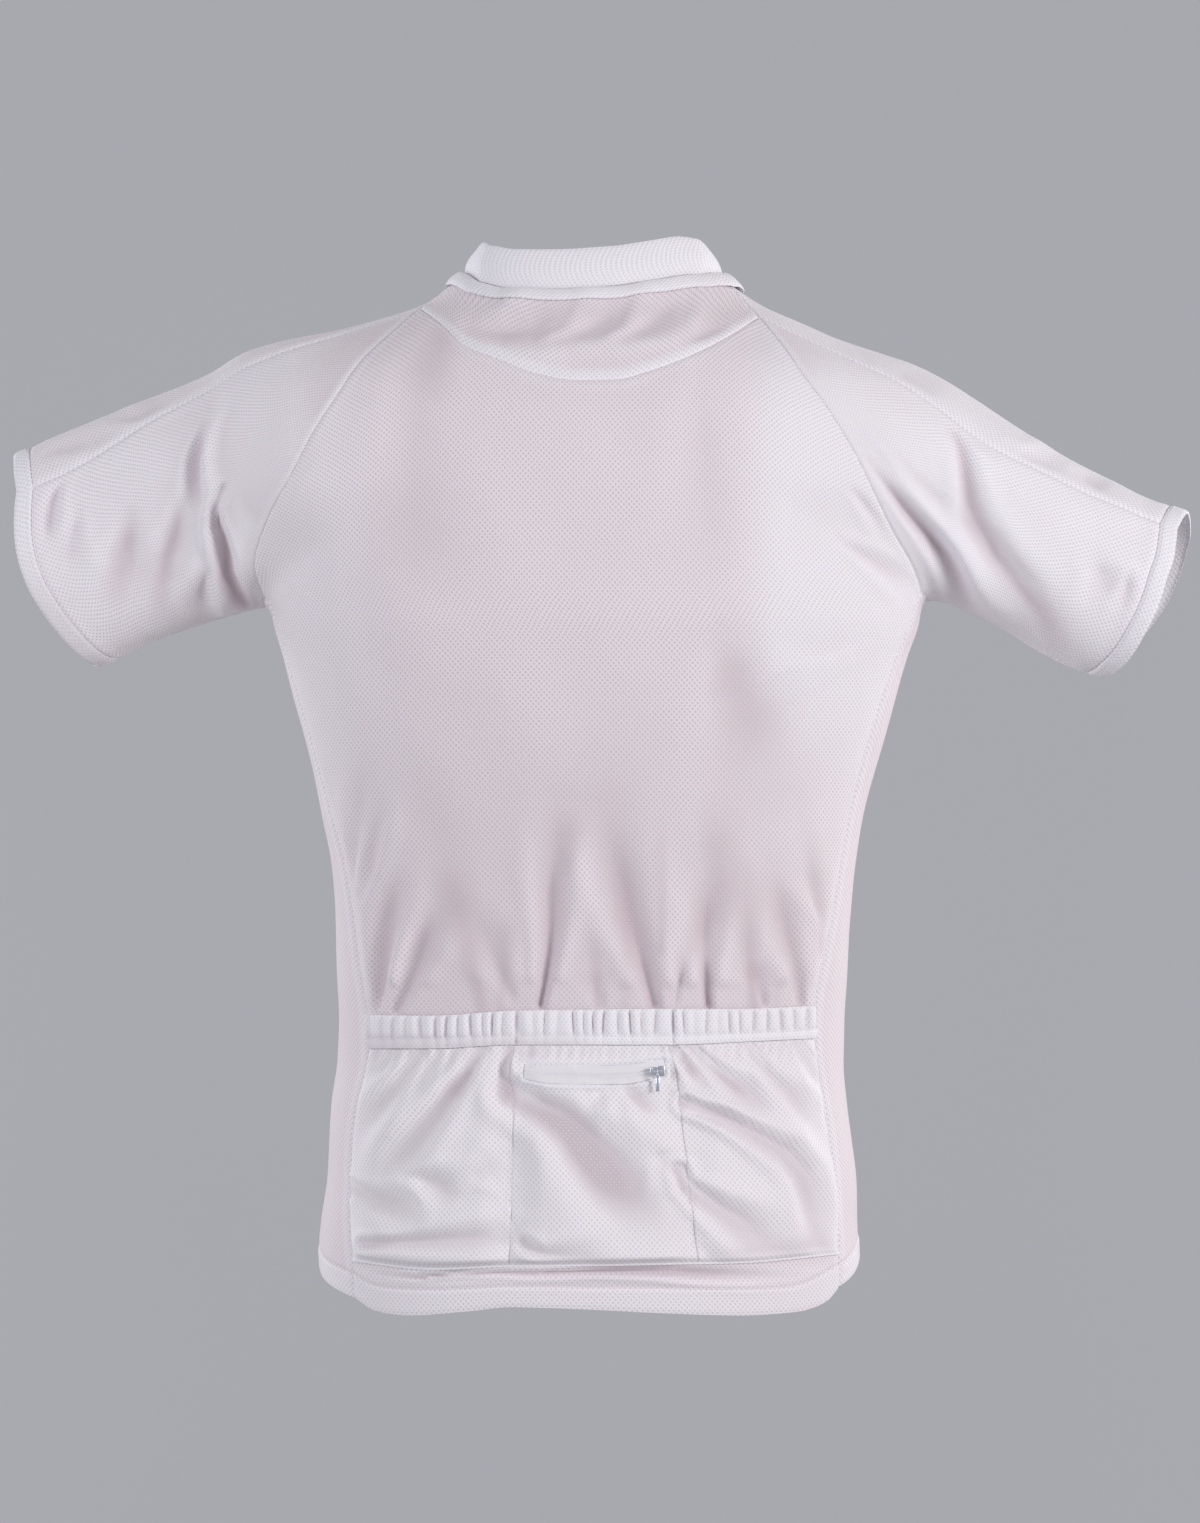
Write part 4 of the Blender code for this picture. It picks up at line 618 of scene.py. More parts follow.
def join(*lines):
    """Lines end to end, each starting where the last one stopped."""
    return np.concatenate([lines[0]] + [line[1:] for line in lines[1:]])


def spanned(top, bottom, left, right):
    """A grid of points between four edges: top and bottom run from left to right."""
    v = np.linspace(0, 1, len(left))[:, None, None]
    u = np.linspace(0, 1, len(top))[None, :, None]
    grid = (1 - v) * top[None] + v * bottom[None] + (1 - u) * left[:, None] + u * right[:, None]
    grid -= (1 - u) * (1 - v) * top[0] + u * (1 - v) * top[-1]
    return grid - ((1 - u) * v * bottom[0] + u * v * bottom[-1])


def patch(top, bottom, left, right):
    """A grid of even points on the form between four edges."""
    grid = spanned(top, bottom, left, right)
    for _ in range(3):
        inner = grid[1:-1, 1:-1]
        inner[:] = settle(inner, 3)
        around = grid[:-2, 1:-1] + grid[2:, 1:-1] + grid[1:-1, :-2] + grid[1:-1, 2:]
        inner += 0.5 * (around / 4 - inner)
    grid[1:-1, 1:-1] = settle(grid[1:-1, 1:-1])
    return grid


def stack(*grids):
    return np.concatenate([grids[0]] + [grid[1:] for grid in grids[1:]], axis=0)


def drawn_place(p):
    """Where a point shows on the flat drawing, looked at from behind."""
    centre = np.array((SIGHT_ACROSS, SIGHT_HEIGHT))
    scale = SIGHT_DISTANCE / (SIGHT_DISTANCE + p[..., 1])
    return centre + (p[..., [0, 2]] - centre) * scale[..., None]


def along(place, line):
    """Distance from a drawn line, and how far along it from 0 to 1."""
    line = np.asarray(line, float)
    length = lengths_along(line)
    near = np.full(place.shape[:-1], 1e9)
    where = np.zeros(place.shape[:-1])
    for i, (a, b) in enumerate(zip(line[:-1], line[1:])):
        step = b - a
        t = np.clip(((place - a) @ step) / (step @ step), 0, 1)
        gap = np.linalg.norm(place - a - t[..., None] * step, axis=-1)
        closer = gap < near
        near = np.where(closer, gap, near)
        where = np.where(closer, (length[i] + t * (length[i + 1] - length[i])) / length[-1], where)
    return near, where


def gap_from(place, *lines):
    """Distance from the nearest of these drawn lines."""
    return np.min([along(place, line)[0] for line in lines], axis=0)


def turned(p, about):
    """Points mirrored through the plane y = about."""
    return np.stack([p[:, 0], 2 * about - p[:, 1], p[:, 2]], axis=1)


def sleeve_seams(side):
    """Every seam of one sleeve and the neckline beside it, as points on the form."""
    way = SIDES[side]
    axis = SLEEVE[side]
    corner = settle(np.array(NECK_POINT[side], float))
    found = {
        "strip_neck_back": steadied(STRIP_NECK[side], N_NECK, corner, 1500),
        "strip_back": steadied(STRIP_SEAM[side], N_SLEEVE),
        "raglan_back": seam(RAGLAN_SEAM[side], N_RAGLAN),
    }
    found["strip_neck_back"][-1] = found["raglan_back"][0]
    found["strip_back"][0] = found["raglan_back"][0]
    ring = np.array(NECK_FRONT, float) * (way, 1, 1)
    ring = settle(curve(np.vstack([found["strip_neck_back"][:1], ring]), 200))
    split = int(np.searchsorted(lengths_along(ring), STRIP_AT_NECK))
    found["neck_strip"] = settle(even(ring[: split + 1], N_RIDGE))
    found["neck_front"] = settle(even(ring[split:], N_FRONT))
    # The strip widens from the neck to the top of the raglan seams, and a little more beyond
    back = join(found["strip_neck_back"], found["strip_back"])
    steps = np.arange(len(back))
    widths = (
        (0, STRIP_AT_NECK), (N_NECK, STRIP_AT_APEX),
        (N_NECK + 3, STRIP_WIDTH), (len(back), STRIP_WIDTH),
    )
    front = back.copy()
    front[:, 1] += through(steps, widths, 1)
    front = settle(front, 20, (0, 2))
    spread = np.clip(1 - steps / N_NECK, 0, 1)[:, None]
    front += spread * (found["neck_strip"][-1] - front[0])
    front = settle(smoothed(front, 0.25, 4))
    front[0] = found["neck_strip"][-1]
    found["strip_neck_front"], found["strip_front"] = front[: N_NECK + 1], front[N_NECK:]
    corner = found["raglan_back"][-1]
    mirror = settle(turned(found["raglan_back"], 0.0))
    fade = ease(np.arange(N_RAGLAN + 1) / N_RAGLAN, 0.0, 0.4)[:, None]
    found["raglan_front"] = settle(mirror + (1 - fade) * (front[N_NECK] - mirror[0]))
    found["raglan_front"][0] = front[N_NECK]
    # Across the armpit and along the underarm
    pit_x = way * PIT_ACROSS
    pit = np.array([[pit_x, 0.0, through(np.array(pit_x), axis, 2) + 3]])
    found["armpit_back"] = over(np.vstack([corner, pit]), N_ARMPIT)
    ends = np.vstack([found["armpit_back"][-1], found["raglan_front"][-1]])
    found["armpit_front"] = over(ends, N_ARMPIT)
    x = np.linspace(pit_x, CUFF_ENDS[side][1], 8)[1:]
    low = np.stack([x, through(x, axis, 3), through(x, axis, 2)], axis=1)
    found["underarm"] = over(np.vstack([found["armpit_back"][-1], low]), N_SLEEVE)
    # Round the cuff
    rows = N_RAGLAN + N_ARMPIT
    back_half = np.vstack([sighted(curve(CUFF_SEAM[side])), found["underarm"][-1:]])
    back_half[0] = found["strip_back"][-1]
    found["cuff_back"] = settle(even(calm(even(back_half, 60), 60), rows))
    found["cuff_back"][[0, -1]] = back_half[[0, -1]]
    front_half = turned(found["cuff_back"], through(found["cuff_back"][:, 0], axis, 3))
    part = np.arange(rows + 1) / rows
    front_half[:, 0] += CUFF_FRONT_REACH[side] * way * (1 - ease(part, 0.25, 0.8))
    found["cuff_front"] = settle(front_half)
    found["cuff_front"][-1] = found["underarm"][-1]
    drift = np.linspace(0, 1, N_SLEEVE)[:, None] ** 2
    front[N_NECK + 1 :] += drift * (found["cuff_front"][0] - front[-1])
    front[N_NECK + 1 :] = settle(front[N_NECK + 1 :])
    front[-1] = found["cuff_front"][0]
    found["strip_front"] = front[N_NECK:]
    top_x = np.array(CUFF_ENDS[side][0], float)
    ridge = [[top_x, through(top_x, axis, 3), through(top_x, axis, 1)]]
    found["cuff_top"] = over(np.vstack([back[-1:], ridge, front[-1:]]), N_RIDGE)
    return found


def side_seams(side, shared):
    """The side seams behind and in front, and the lines across the side panel and the front."""
    way = SIDES[side]
    counts = (N_WAIST, N_POCKET, 1, N_HEM)
    lengths = [seam(line, count) for line, count in zip(SIDE_SEAM[side], counts)]
    lengths[0] = steadied(SIDE_SEAM[side][0], N_WAIST)
    lengths[0][0] = shared["raglan_back"][-1]
    lengths[0][-1] = lengths[1][0]
    back = join(*lengths)
    top, low, pit = back[0, 2], back[-1, 2], shared["raglan_front"][-1, 2]
    height = pit + (back[:, 2] - top) * (HEM_AT_FRONT_SEAM - pit) / (low - top)
    front = np.stack([back[:, 0], -back[:, 1], height], axis=1)
    front = settle(smoothed(front, 0.25, 6))
    front[0] = shared["raglan_front"][-1]
    stitch = N_WAIST + N_POCKET + 1
    found = {"back": back, "front": front, "stitch_row": stitch}
    for name, row, lift in (("stitch", stitch, HEM_DEPTH), ("hem", -1, 0.0)):
        around = [[way * HEM_SIDE_ACROSS + HEM_CENTRE, 0.0, HEM_AT_SIDE[side] + lift]]
        found[name + "_side"] = over(np.vstack([back[row], around, front[row]]), 2 * N_ARMPIT)
        centre = [[way * ZIP_GAP, HEM_ZIP_DEPTH, HEM_AT_FRONT + lift]]
        height = (HEM_AT_FRONT + 2 * HEM_AT_FRONT_SEAM) / 3 + lift
        half = [[way * HEM_HALFWAY[0], HEM_HALFWAY[1], height]]
        found[name + "_front"] = over(np.vstack([front[row], half, centre]), N_FRONT)
    neck, hem = shared["neck_front"][-1], found["hem_front"][-1]
    z = np.linspace(neck[2], found["stitch_front"][-1][2], 60)[1:-1]
    rows = len(front) - 1 + N_NECK + N_RAGLAN - N_HEM
    line = np.stack([0 * z + way * ZIP_GAP, through(z, TORSO, 4), z], axis=1)
    found["centre"] = over(np.vstack([neck, line, found["stitch_front"][-1]]), rows)
    found["centre_hem"] = over(np.vstack([found["stitch_front"][-1], hem]), N_HEM)
    return found


def neck_ring(neckline, sleeves):
    """The whole neckline, from the zip round the left shoulder and the back to the zip again."""
    left, right = sleeves["left"], sleeves["right"]
    start = join(left["neck_front"][::-1], left["neck_strip"][::-1])
    return join(start, neckline, right["neck_strip"], right["neck_front"])


def plain(skin):
    """A skin without the two extra lines of points beside each edge."""
    for axis in (0, 1):
        skin = np.moveaxis(skin, axis, 0)
        skin = np.moveaxis(np.concatenate([skin[:1], skin[3:-3], skin[-1:]]), 0, axis)
    return skin


def neck_columns(fronts, strips, yoke):
    """For each point of the neck ring, the line of panel points that runs away from it."""
    front, ridge, back = N_FRONT * FINE, N_RIDGE * FINE, N_ACROSS * FINE
    columns = [fronts["left"][:, k] for k in range(front, -1, -1)]
    columns += [strips["left"][k] for k in range(ridge - 1, -1, -1)]
    columns += [yoke[:, k] for k in range(1, back + 1)]
    columns += [strips["right"][k] for k in range(1, ridge + 1)]
    return columns + [fronts["right"][:, k] for k in range(1, front + 1)]


def round_the_neck(ring):
    """Which way is out from the neck at each point of its ring, and the angle from the back."""
    out = ring[:, :2] - (-1.0, 0.0)
    angle = np.degrees(np.arctan2(np.abs(out[:, 0]) / NECK_HALF[0], -out[:, 1] / NECK_HALF[1]))
    return unit(out), angle


def cut_at(line, places):
    """A drawn line cut where its points pass each place across."""
    fine = curve(line, 400)
    cuts = [int(np.argmin(np.abs(fine[:, 0] - place))) for place in places]
    bounds = [0, *cuts, len(fine) - 1]
    return [fine[a : b + 1] for a, b in zip(bounds[:-1], bounds[1:])]


def pocket_rise(grid):
    """How far the pockets stand out from the back: full between the lines that hold them down."""
    place = drawn_place(grid)
    held = gap_from(place, *POCKET_SIDE.values(), *DIVIDER.values())
    full = POCKET_FULLNESS * ease(held, 0, 22) * ease(gap_from(place, LOWER_BAND_LINE), 0, 40)
    sag = POCKET_SAG * ease(held, 0, 8) * bell(gap_from(place, POCKET_BOTTOM), 14)
    return full + sag - 0.2 * bell(held, 3)


# ---- fine seams and panels

SEAMS = {}  # each side's seams, worked out once
SKINS = {}  # the outer skin of each finished piece, for a later one that is laid on it


def finer(points):
    """A seam with FINE times its points, on one smooth curve and on the form."""
    run = np.gradient(points, axis=0)
    i = np.repeat(np.arange(len(points) - 1), FINE)
    u = np.tile(np.arange(FINE) / FINE, len(points) - 1)[:, None]
    fine = (2 * u**3 - 3 * u**2 + 1) * points[i] + (3 * u**2 - 2 * u**3) * points[i + 1]
    fine += (u**3 - 2 * u**2 + u) * run[i] + (u**3 - u**2) * run[i + 1]
    return settle(np.vstack([fine, points[-1:]]), 4)


def all_seams():
    """Every seam of the jersey, worked out once."""
    if not SEAMS:
        for side in SIDES:
            sleeve = sleeve_seams(side)
            body = side_seams(side, sleeve)
            row = body.pop("stitch_row") * FINE
            SEAMS[side] = (
                {name: finer(line) for name, line in sleeve.items()},
                {name: finer(line) for name, line in body.items()} | {"stitch_row": row},
            )
    return SEAMS


def edged(grid, axis, parts):
    """A grid with more lines of points beside its first and its last, at these parts of a step."""
    grid = np.moveaxis(grid, axis, 0)
    first = [grid[0] * (1 - t) + grid[1] * t for t in parts]
    last = [grid[-1] * (1 - t) + grid[-2] * t for t in reversed(parts)]
    return np.moveaxis(np.concatenate([grid[:1], first, grid[1:-1], last, grid[-1:]]), 0, axis)


def fringed(grid):
    """A grid with two more lines of points beside each edge, so that its seams can dip sharply."""
    return edged(edged(grid, 0, (0.14, 0.42)), 1, (0.14, 0.42))


def run_length(grid, axis, parts=(0, 1, 2)):
    """Length along a grid's lines, counting only some of the axes."""
    step = np.diff(grid, axis=axis)[..., list(parts)]
    length = np.cumsum(np.linalg.norm(step, axis=-1), axis=axis)
    pad = [(0, 0), (0, 0)]
    pad[axis] = (1, 0)
    return np.pad(length, pad)


def creases(p, normal, kind):
    """How far the creases of one kind lift each point, most of them being troughs with soft banks."""
    place = p[..., [0, 2]] if kind == "front" else drawn_place(p)
    found = np.zeros(p.shape[:-1])
    for half, depth, *line in CREASES[kind]:
        gap, where = along(place, np.reshape(line, (-1, 2)))
        x, z = line[:2]
        from_band = kind.startswith("back") and z < -440
        from_seam = kind == "pocket" and (z > -510 or abs(x) > 144 or 44 < abs(x) < 66)
        start = 1.0 if from_band or from_seam else ease(where, 0.0, 0.3)
        strength = depth * (0.25 + 0.75 * start) * (0.08 + 0.92 * ease(1 - where, 0.0, 0.45))
        width = half * (0.5 + 0.7 * ease(where, 0.0, 0.8))
        trough = np.exp(-((gap / width) ** 1.7))
        bank = bell(gap - 2.0 * width, width)
        found += strength * (0.4 * bank - trough)
    away = normal[..., 1] if kind == "front" else -normal[..., 1]
    return found * ease(away, 0.0, 0.35)


def ripple(p, size, seed):
    """Soft unevenness of hanging cloth, from -1 to 1, with a wave length of about this size."""
    found = np.zeros(p.shape[:-1])
    for k in range(5):
        turn = seed * 1.7 + k * 2.399
        way = np.array([math.cos(turn), 0.6 * math.sin(turn * 1.3), math.sin(turn)])
        found += np.sin(p @ way * (2 * math.pi / size) * (0.7 + 0.17 * k) + turn * 3.1)
    return found / 3.2


def edges_of(grid):
    """Distance of each point from the top, bottom, left and right edges, along the cloth."""
    down, across = run_length(grid, 0), run_length(grid, 1)
    far = {"bottom": down[-1:] - down, "right": across[:, -1:] - across}
    return {"top": down, "left": across} | far


def sewn_height(grid, sewn):
    """The dip at each sewn edge, the flat ridge of its allowance, and small puckers beside it."""
    sizes = bpy.context.scene.jersey_sizes
    wide, dip = sizes.allowance / MM, sizes.seam_dip / MM
    found = np.zeros(grid.shape[:-1])
    allowance = np.zeros(grid.shape[:-1])
    near = np.full(grid.shape[:-1], 1e9)
    edges = edges_of(grid)
    for edge, light in sewn.items():
        gap = edges[edge]
        near = np.minimum(near, gap)
        band = ease(gap, 0.5, 1.6) * (1 - ease(gap, wide - 1.2, wide + 0.6))
        found += 0.18 * band * light
        allowance = np.maximum(allowance, light * (1 - ease(gap, wide - 2.0, wide + 2.0)))
    pucker = ripple(grid, 9.0, 2.0) * 0.22 * ease(near, 0.5, 4.0) * bell(near, 9.0)
    found += pucker - dip * bell(near, 1.15)
    return found, allowance, near


def flat_place(u, v):
    """Places on the flat cloth, in tenths of a metre."""
    return np.stack([u, v], axis=-1) / 100


def knit_map(grid, down=(1, 2), row=-1):
    """Where each point lies on a panel cut along its length, measured from one row and the middle."""
    u, v = run_length(grid, 1, (0, 1)), run_length(grid, 0, down)
    middle = grid.shape[1] // 2
    return flat_place(u - u[:, middle : middle + 1], v[row][None] - v)


def round_map(grid):
    """Where each point lies on a strip that is cut along its own length."""
    return flat_place(run_length(grid, 1), run_length(grid, 0))


def sleeve_map(grid):
    """The knit runs along the sleeve, and is measured from its cuff."""
    u, v = run_length(grid, 1), run_length(grid, 0)
    return flat_place(v, u[:, -1:] - u)


def strip_map(grid):
    """The strip is cut across, so that its courses run along the shoulder."""
    u, v = run_length(grid, 1), run_length(grid, 0)
    return flat_place(u, v[-1:] - v)


def placed_in_scene(name, mesh, material):
    mesh.shade_smooth()
    mesh.materials.append(material)
    thing = bpy.data.objects.new(name, mesh)
    bpy.context.scene.collection.objects.link(thing)
    return thing


def sheet_mesh(name, outer, normal, wall, weave, fields, material):
    """A closed thin sheet under its outer skin, with its place on the flat cloth as its UV map."""
    inner = outer - normal * np.broadcast_to(wall, outer.shape[:-1])[..., None]
    rows, columns = outer.shape[:2]
    index = np.arange(rows * columns).reshape(rows, columns)
    quads = np.stack([index[:-1, :-1], index[1:, :-1], index[1:, 1:], index[:-1, 1:]], axis=-1)
    quads = quads.reshape(-1, 4)
    rim = np.concatenate([index[0, :-1], index[:-1, -1], index[-1, :0:-1], index[:0:-1, 0]])
    turn = np.roll(rim, -1)
    under = rows * columns
    walls = np.stack([rim, turn, turn + under, rim + under], axis=-1)
    faces = np.concatenate([quads, quads[:, ::-1] + under, walls])
    points = np.concatenate([outer.reshape(-1, 3), inner.reshape(-1, 3)]) * MM
    mesh = bpy.data.meshes.new(name)
    mesh.from_pydata(points.tolist(), [], faces.tolist())
    corner = np.empty(len(mesh.loops), dtype=np.int32)
    mesh.loops.foreach_get("vertex_index", corner)
    layer = mesh.uv_layers.new(name="weave")
    flat = np.concatenate([weave.reshape(-1, 2)] * 2)[corner]
    layer.data.foreach_set("uv", flat.astype(np.float32).ravel())
    for field, values in fields.items():
        made = mesh.attributes.new(field, "FLOAT", "POINT")
        both = np.tile(np.broadcast_to(values, outer.shape[:-1]).ravel(), 2)
        made.data.foreach_set("value", both.astype(np.float32))
    mesh.validate()
    body = bmesh.new()
    body.from_mesh(mesh)
    if body.calc_volume(signed=True) < 0:
        bmesh.ops.reverse_faces(body, faces=body.faces[:])
    body.to_mesh(mesh)
    body.free()
    return placed_in_scene(name, mesh, material)


def as_cloth(thing, node, outer):
    """Attaches a finished sheet to the garment and hides the part that it stands for; the size that it
    was cut to, before it was sewn and worn, is worked out but not used.
    """
    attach(thing, "garment")
    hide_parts(node)
    wide = float(run_length(outer, 1)[:, -1].max()) * MM
    long = float(run_length(outer, 0)[-1].max()) * MM
    side_a = outer[1:, :-1] - outer[:-1, :-1]
    side_b = outer[:-1, 1:] - outer[:-1, :-1]
    area = float(np.linalg.norm(np.cross(side_a, side_b), axis=-1).sum()) * MM * MM
    area = min(max(area, 0.32 * wide * long), wide * long)


def knit_piece(node, sheet, weave, fields, material):
    """One finished piece of knit; sheet holds its outer skin, normals and wall."""
    thing = sheet_mesh(node + "_cloth", *sheet, weave, fields, material)
    as_cloth(thing, node, sheet[0])
    SKINS[node] = sheet[0]


def crease_lift(grid, normal, kind):
    """How far a panel's creases lift it; a sleeve's front has those of its back, a little shifted."""
    if kind == "sleeve_front":
        mirrored = np.array((1, -1, 1))
        return creases(grid * mirrored + (7, 0, -9), normal * mirrored, "sleeve")
    lift = creases(grid, normal, kind)
    if kind == "back":
        # No bank stands up under the pocket band, and nothing creases below it
        height = drawn_place(grid)[..., 1]
        lift = np.where(height < -462, np.minimum(lift, 0.0), lift) * ease(height, -486, -477)
    return lift


def painted_highlight(grid, kind):
    """Painted highlight: where the sleeves and shoulder strips are coloured whiter because the light
    falls on them, apart from their seams.
    """
    x, z = grid[..., 0], grid[..., 2]
    if kind.startswith("sleeve"):
        end = 0.75 * ease(np.abs(x), 215, 300) * ease(z, -240, -180)
        return np.max([end, 0.9 * ease(x, 100, 160), 0.7 * ease(-x, 165, 205)], axis=0)
    if kind == "strip":
        return ease(x, 90, 130) + 0.5 * ease(-x, 180, 220)
    return 0.0


def back_roll_and_painted_light(grid, normal, allowance, fold):
    """The back's cloth rolled over its hem, with painted shade in that crease; painted highlights make
    its shoulders whiter and painted shade makes its middle pinker.
    """
    x, z = np.moveaxis(drawn_place(grid), -1, 0)
    # painted highlight where light falls on the shoulders, the right one more than the left
    shoulder = 0.95 * ease(x, 82, 130) + 0.5 * ease(-x, 130, 190)
    close = np.maximum(shoulder * ease(z, -430, -260), 0.6 * ease(-z, 646, 654))
    # painted shade down the lower middle of the back, which curves away from the light
    middle = ease(-z, 235, 335) * (1 - ease(np.abs(x - 10), 105, 150)) * (1 - ease(-z, 600, 650))
    rolled = creases(grid, normal, "hem")
    fold = fold + 0.5 * middle + np.clip(-rolled / 2.5, -0.3, 1.6)
    return rolled, np.maximum(allowance, close), fold


def panel_piece(
    name, grid, sewn, kind, hem_row=None, weave=knit_map, uneven=0.7,
):
    """One panel of knit on the form: creases, soft unevenness, sewn edges and its turned-up hem."""
    grid = fringed(grid)
    normal = outward(grid)
    height, allowance, near = sewn_height(grid, sewn)
    inside = ease(near, 1.0, 13.0)
    soft = uneven * ripple(grid, 92.0, len(name) * 0.37)
    if name == "back_panel":
        soft *= ease(drawn_place(grid)[..., 1], -478, -450)
    height = height + (crease_lift(grid, normal, kind) + soft) * inside
    # Painted shading: the knit's colour is darkened in each crease's trough and whitened on its banks,
    # where shade and light would fall
    fold = np.clip(-height / 5.0, -0.5, 1.3) * inside
    if kind in ("back", "sleeve"):
        # Painted shade from the _shade tables, with no crease in the cloth
        shade = -creases(grid, normal, kind + "_shade") / 5.0
        fold = fold + np.maximum(shade, 0.0) * ease(near, 0.0, 5.0)
    # painted highlight on the lit sleeves and strips, through the doubled-knit colour
    allowance = np.maximum(allowance, painted_highlight(grid, kind))
    if name == "back_panel":
        rolled, allowance, fold = back_roll_and_painted_light(grid, normal, allowance, fold)
        height = height + rolled
    wall = CLOTH
    if hem_row is not None:
        down = run_length(grid, 0)
        past = down - down[hem_row + 2]
        end = past[-1:]
        height = height + 0.8 * ease(past, 0.2, 2.6) * (1 - 0.7 * ease(past, end - 3.0, end))
        height = height - 0.9 * bell(past, 1.0)
        # Painted shade in the groove along the hem's stitching
        fold = np.maximum(fold, 0.8 * bell(past, 0.8))
        wall = CLOTH + (HEM_FOLD - CLOTH) * ease(past, 0.0, 2.0)
        allowance = np.maximum(allowance, 0.75 * ease(past, 0.0, 1.2))
    skin = grid + normal * height[..., None]
    fields = {"allowance": allowance, "fold": fold}
    sheet = (skin, normal, wall)
    knit_piece(name, sheet, weave(grid), fields, knit("Single knit"))


# ---- stitches

THREAD_SIDES = 5
THREAD_LIFT = 0.15  # how far the lowest thread lies above the cloth's own skin


def add_stitch(body, first, last, up, radius):
    """A little spindle of thread that lies on the cloth between two points."""
    run = (last - first) / max(np.linalg.norm(last - first), 1e-6)
    side = np.cross(run, up)
    rings = []
    for share, swell in ((0.12, 0.6), (0.5, 1.0), (0.88, 0.6)):
        centre = first + (last - first) * share + up * (THREAD_LIFT + radius * (swell - 0.7))
        ring = []
        for turn in np.arange(THREAD_SIDES) * 2 * math.pi / THREAD_SIDES:
            round_it = side * math.cos(turn) + up * 0.8 * math.sin(turn)
            ring.append(body.verts.new((centre + round_it * radius * swell) * MM))
        rings.append(ring)
    tips = [body.verts.new((end + up * (THREAD_LIFT - radius * 0.6)) * MM) for end in (first, last)]
    for c in range(THREAD_SIDES):
        d = (c + 1) % THREAD_SIDES
        for a, b in zip(rings[:-1], rings[1:]):
            body.faces.new((a[c], a[d], b[d], b[c]))
        for tip, ring in zip(tips, (rings[0], rings[-1])):
            body.faces.new((tip, ring[c], ring[d]))


def stitch_row(name, lines):
    """Rows of small thread stitches laid along lines of points, each with its normals."""
    sizes = bpy.context.scene.jersey_sizes
    length, gap, radius = sizes.stitch / MM, sizes.stitch_gap / MM, sizes.thread / MM / 2
    body = bmesh.new()
    for points, normals in lines:
        total = lengths_along(points)
        count = int(total[-1] // (length + gap))
        starts = (np.arange(count) + 0.5) * total[-1] / count - length / 2
        firsts, lasts = (read_at(starts + reach, total, points) for reach in (0.0, length))
        for first, last, up in zip(firsts, lasts, unit(read_at(starts, total, normals))):
            add_stitch(body, first, last, up, radius)
    bmesh.ops.recalc_face_normals(body, faces=body.faces[:])
    mesh = bpy.data.meshes.new(name)
    body.to_mesh(mesh)
    body.free()
    thing = placed_in_scene(name, mesh, finish("Thread", thread_look))
    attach(thing, "garment")


# ---- the garment's pieces

BAND_ROW = (N_RAGLAN + N_WAIST) * FINE  # rows of the back panel down to the pocket band
HEM_ROW = BAND_ROW + (N_POCKET + 1) * FINE  # and down to the hem's stitches


def back_grids():
    """The neckline, the yoke and the back panel below it, as points on the form."""
    sleeves, sides = ({side: pair[k] for side, pair in all_seams().items()} for k in (0, 1))
    count = N_ACROSS * FINE
    yoke, band, bottom, stitch, hem = (
        seam(line, count) for line in (YOKE_SEAM, BAND_LINE, POCKET_BOTTOM, STITCH_LINE, HEM_LINE)
    )
    ends = [sleeves[side]["strip_neck_back"] for side in SIDES]
    neckline = np.vstack([ends[0][:1], sighted(curve(NECKLINE)), ends[1][:1]])
    neckline = settle(even(neckline, count))
    rows = np.cumsum((0, N_WAIST, N_POCKET, 1, N_HEM)) * FINE
    left, right = (
        [sides[side]["back"][a : b + 1] for a, b in zip(rows[:-1], rows[1:])] for side in SIDES
    )
    left[0] = join(sleeves["left"]["raglan_back"], left[0])
    right[0] = join(sleeves["right"]["raglan_back"], right[0])
    lines = (yoke, band, bottom, stitch, hem)
    grids = [patch(*pair, *edges) for *pair, edges in zip(lines[:-1], lines[1:], zip(left, right))]
    return neckline, patch(neckline, yoke, *ends), stack(*grids)


def side_grid(side):
    sleeve, body = all_seams()[side]
    top, stitch = join(sleeve["armpit_back"], sleeve["armpit_front"]), body["stitch_row"]
    upper = patch(top, body["stitch_side"], body["back"][: stitch + 1], body["front"][: stitch + 1])
    edge = patch(body["stitch_side"], body["hem_side"], body["back"][stitch:], body["front"][stitch:])
    return stack(upper, edge)


def front_grid(side):
    sleeve, body = all_seams()[side]
    stitch = body["stitch_row"]
    left = join(sleeve["strip_neck_front"], sleeve["raglan_front"], body["front"][: stitch + 1])
    upper = patch(sleeve["neck_front"], body["stitch_front"], left, body["centre"])
    edge = patch(body["stitch_front"], body["hem_front"], body["front"][stitch:], body["centre_hem"])
    return stack(upper, edge), len(left) - 1


def sleeve_grids(side):
    s, _ = all_seams()[side]
    back_edge = join(s["raglan_back"], s["armpit_back"])
    front_edge = join(s["raglan_front"], s["armpit_front"][::-1])
    back = patch(s["strip_back"], s["underarm"], back_edge, s["cuff_back"])
    front = patch(s["strip_front"], s["underarm"], front_edge, s["cuff_front"])
    long_back = join(s["strip_neck_back"], s["strip_back"])
    long_front = join(s["strip_neck_front"], s["strip_front"])
    return back, front, patch(long_back, long_front, s["neck_strip"], s["cuff_top"])


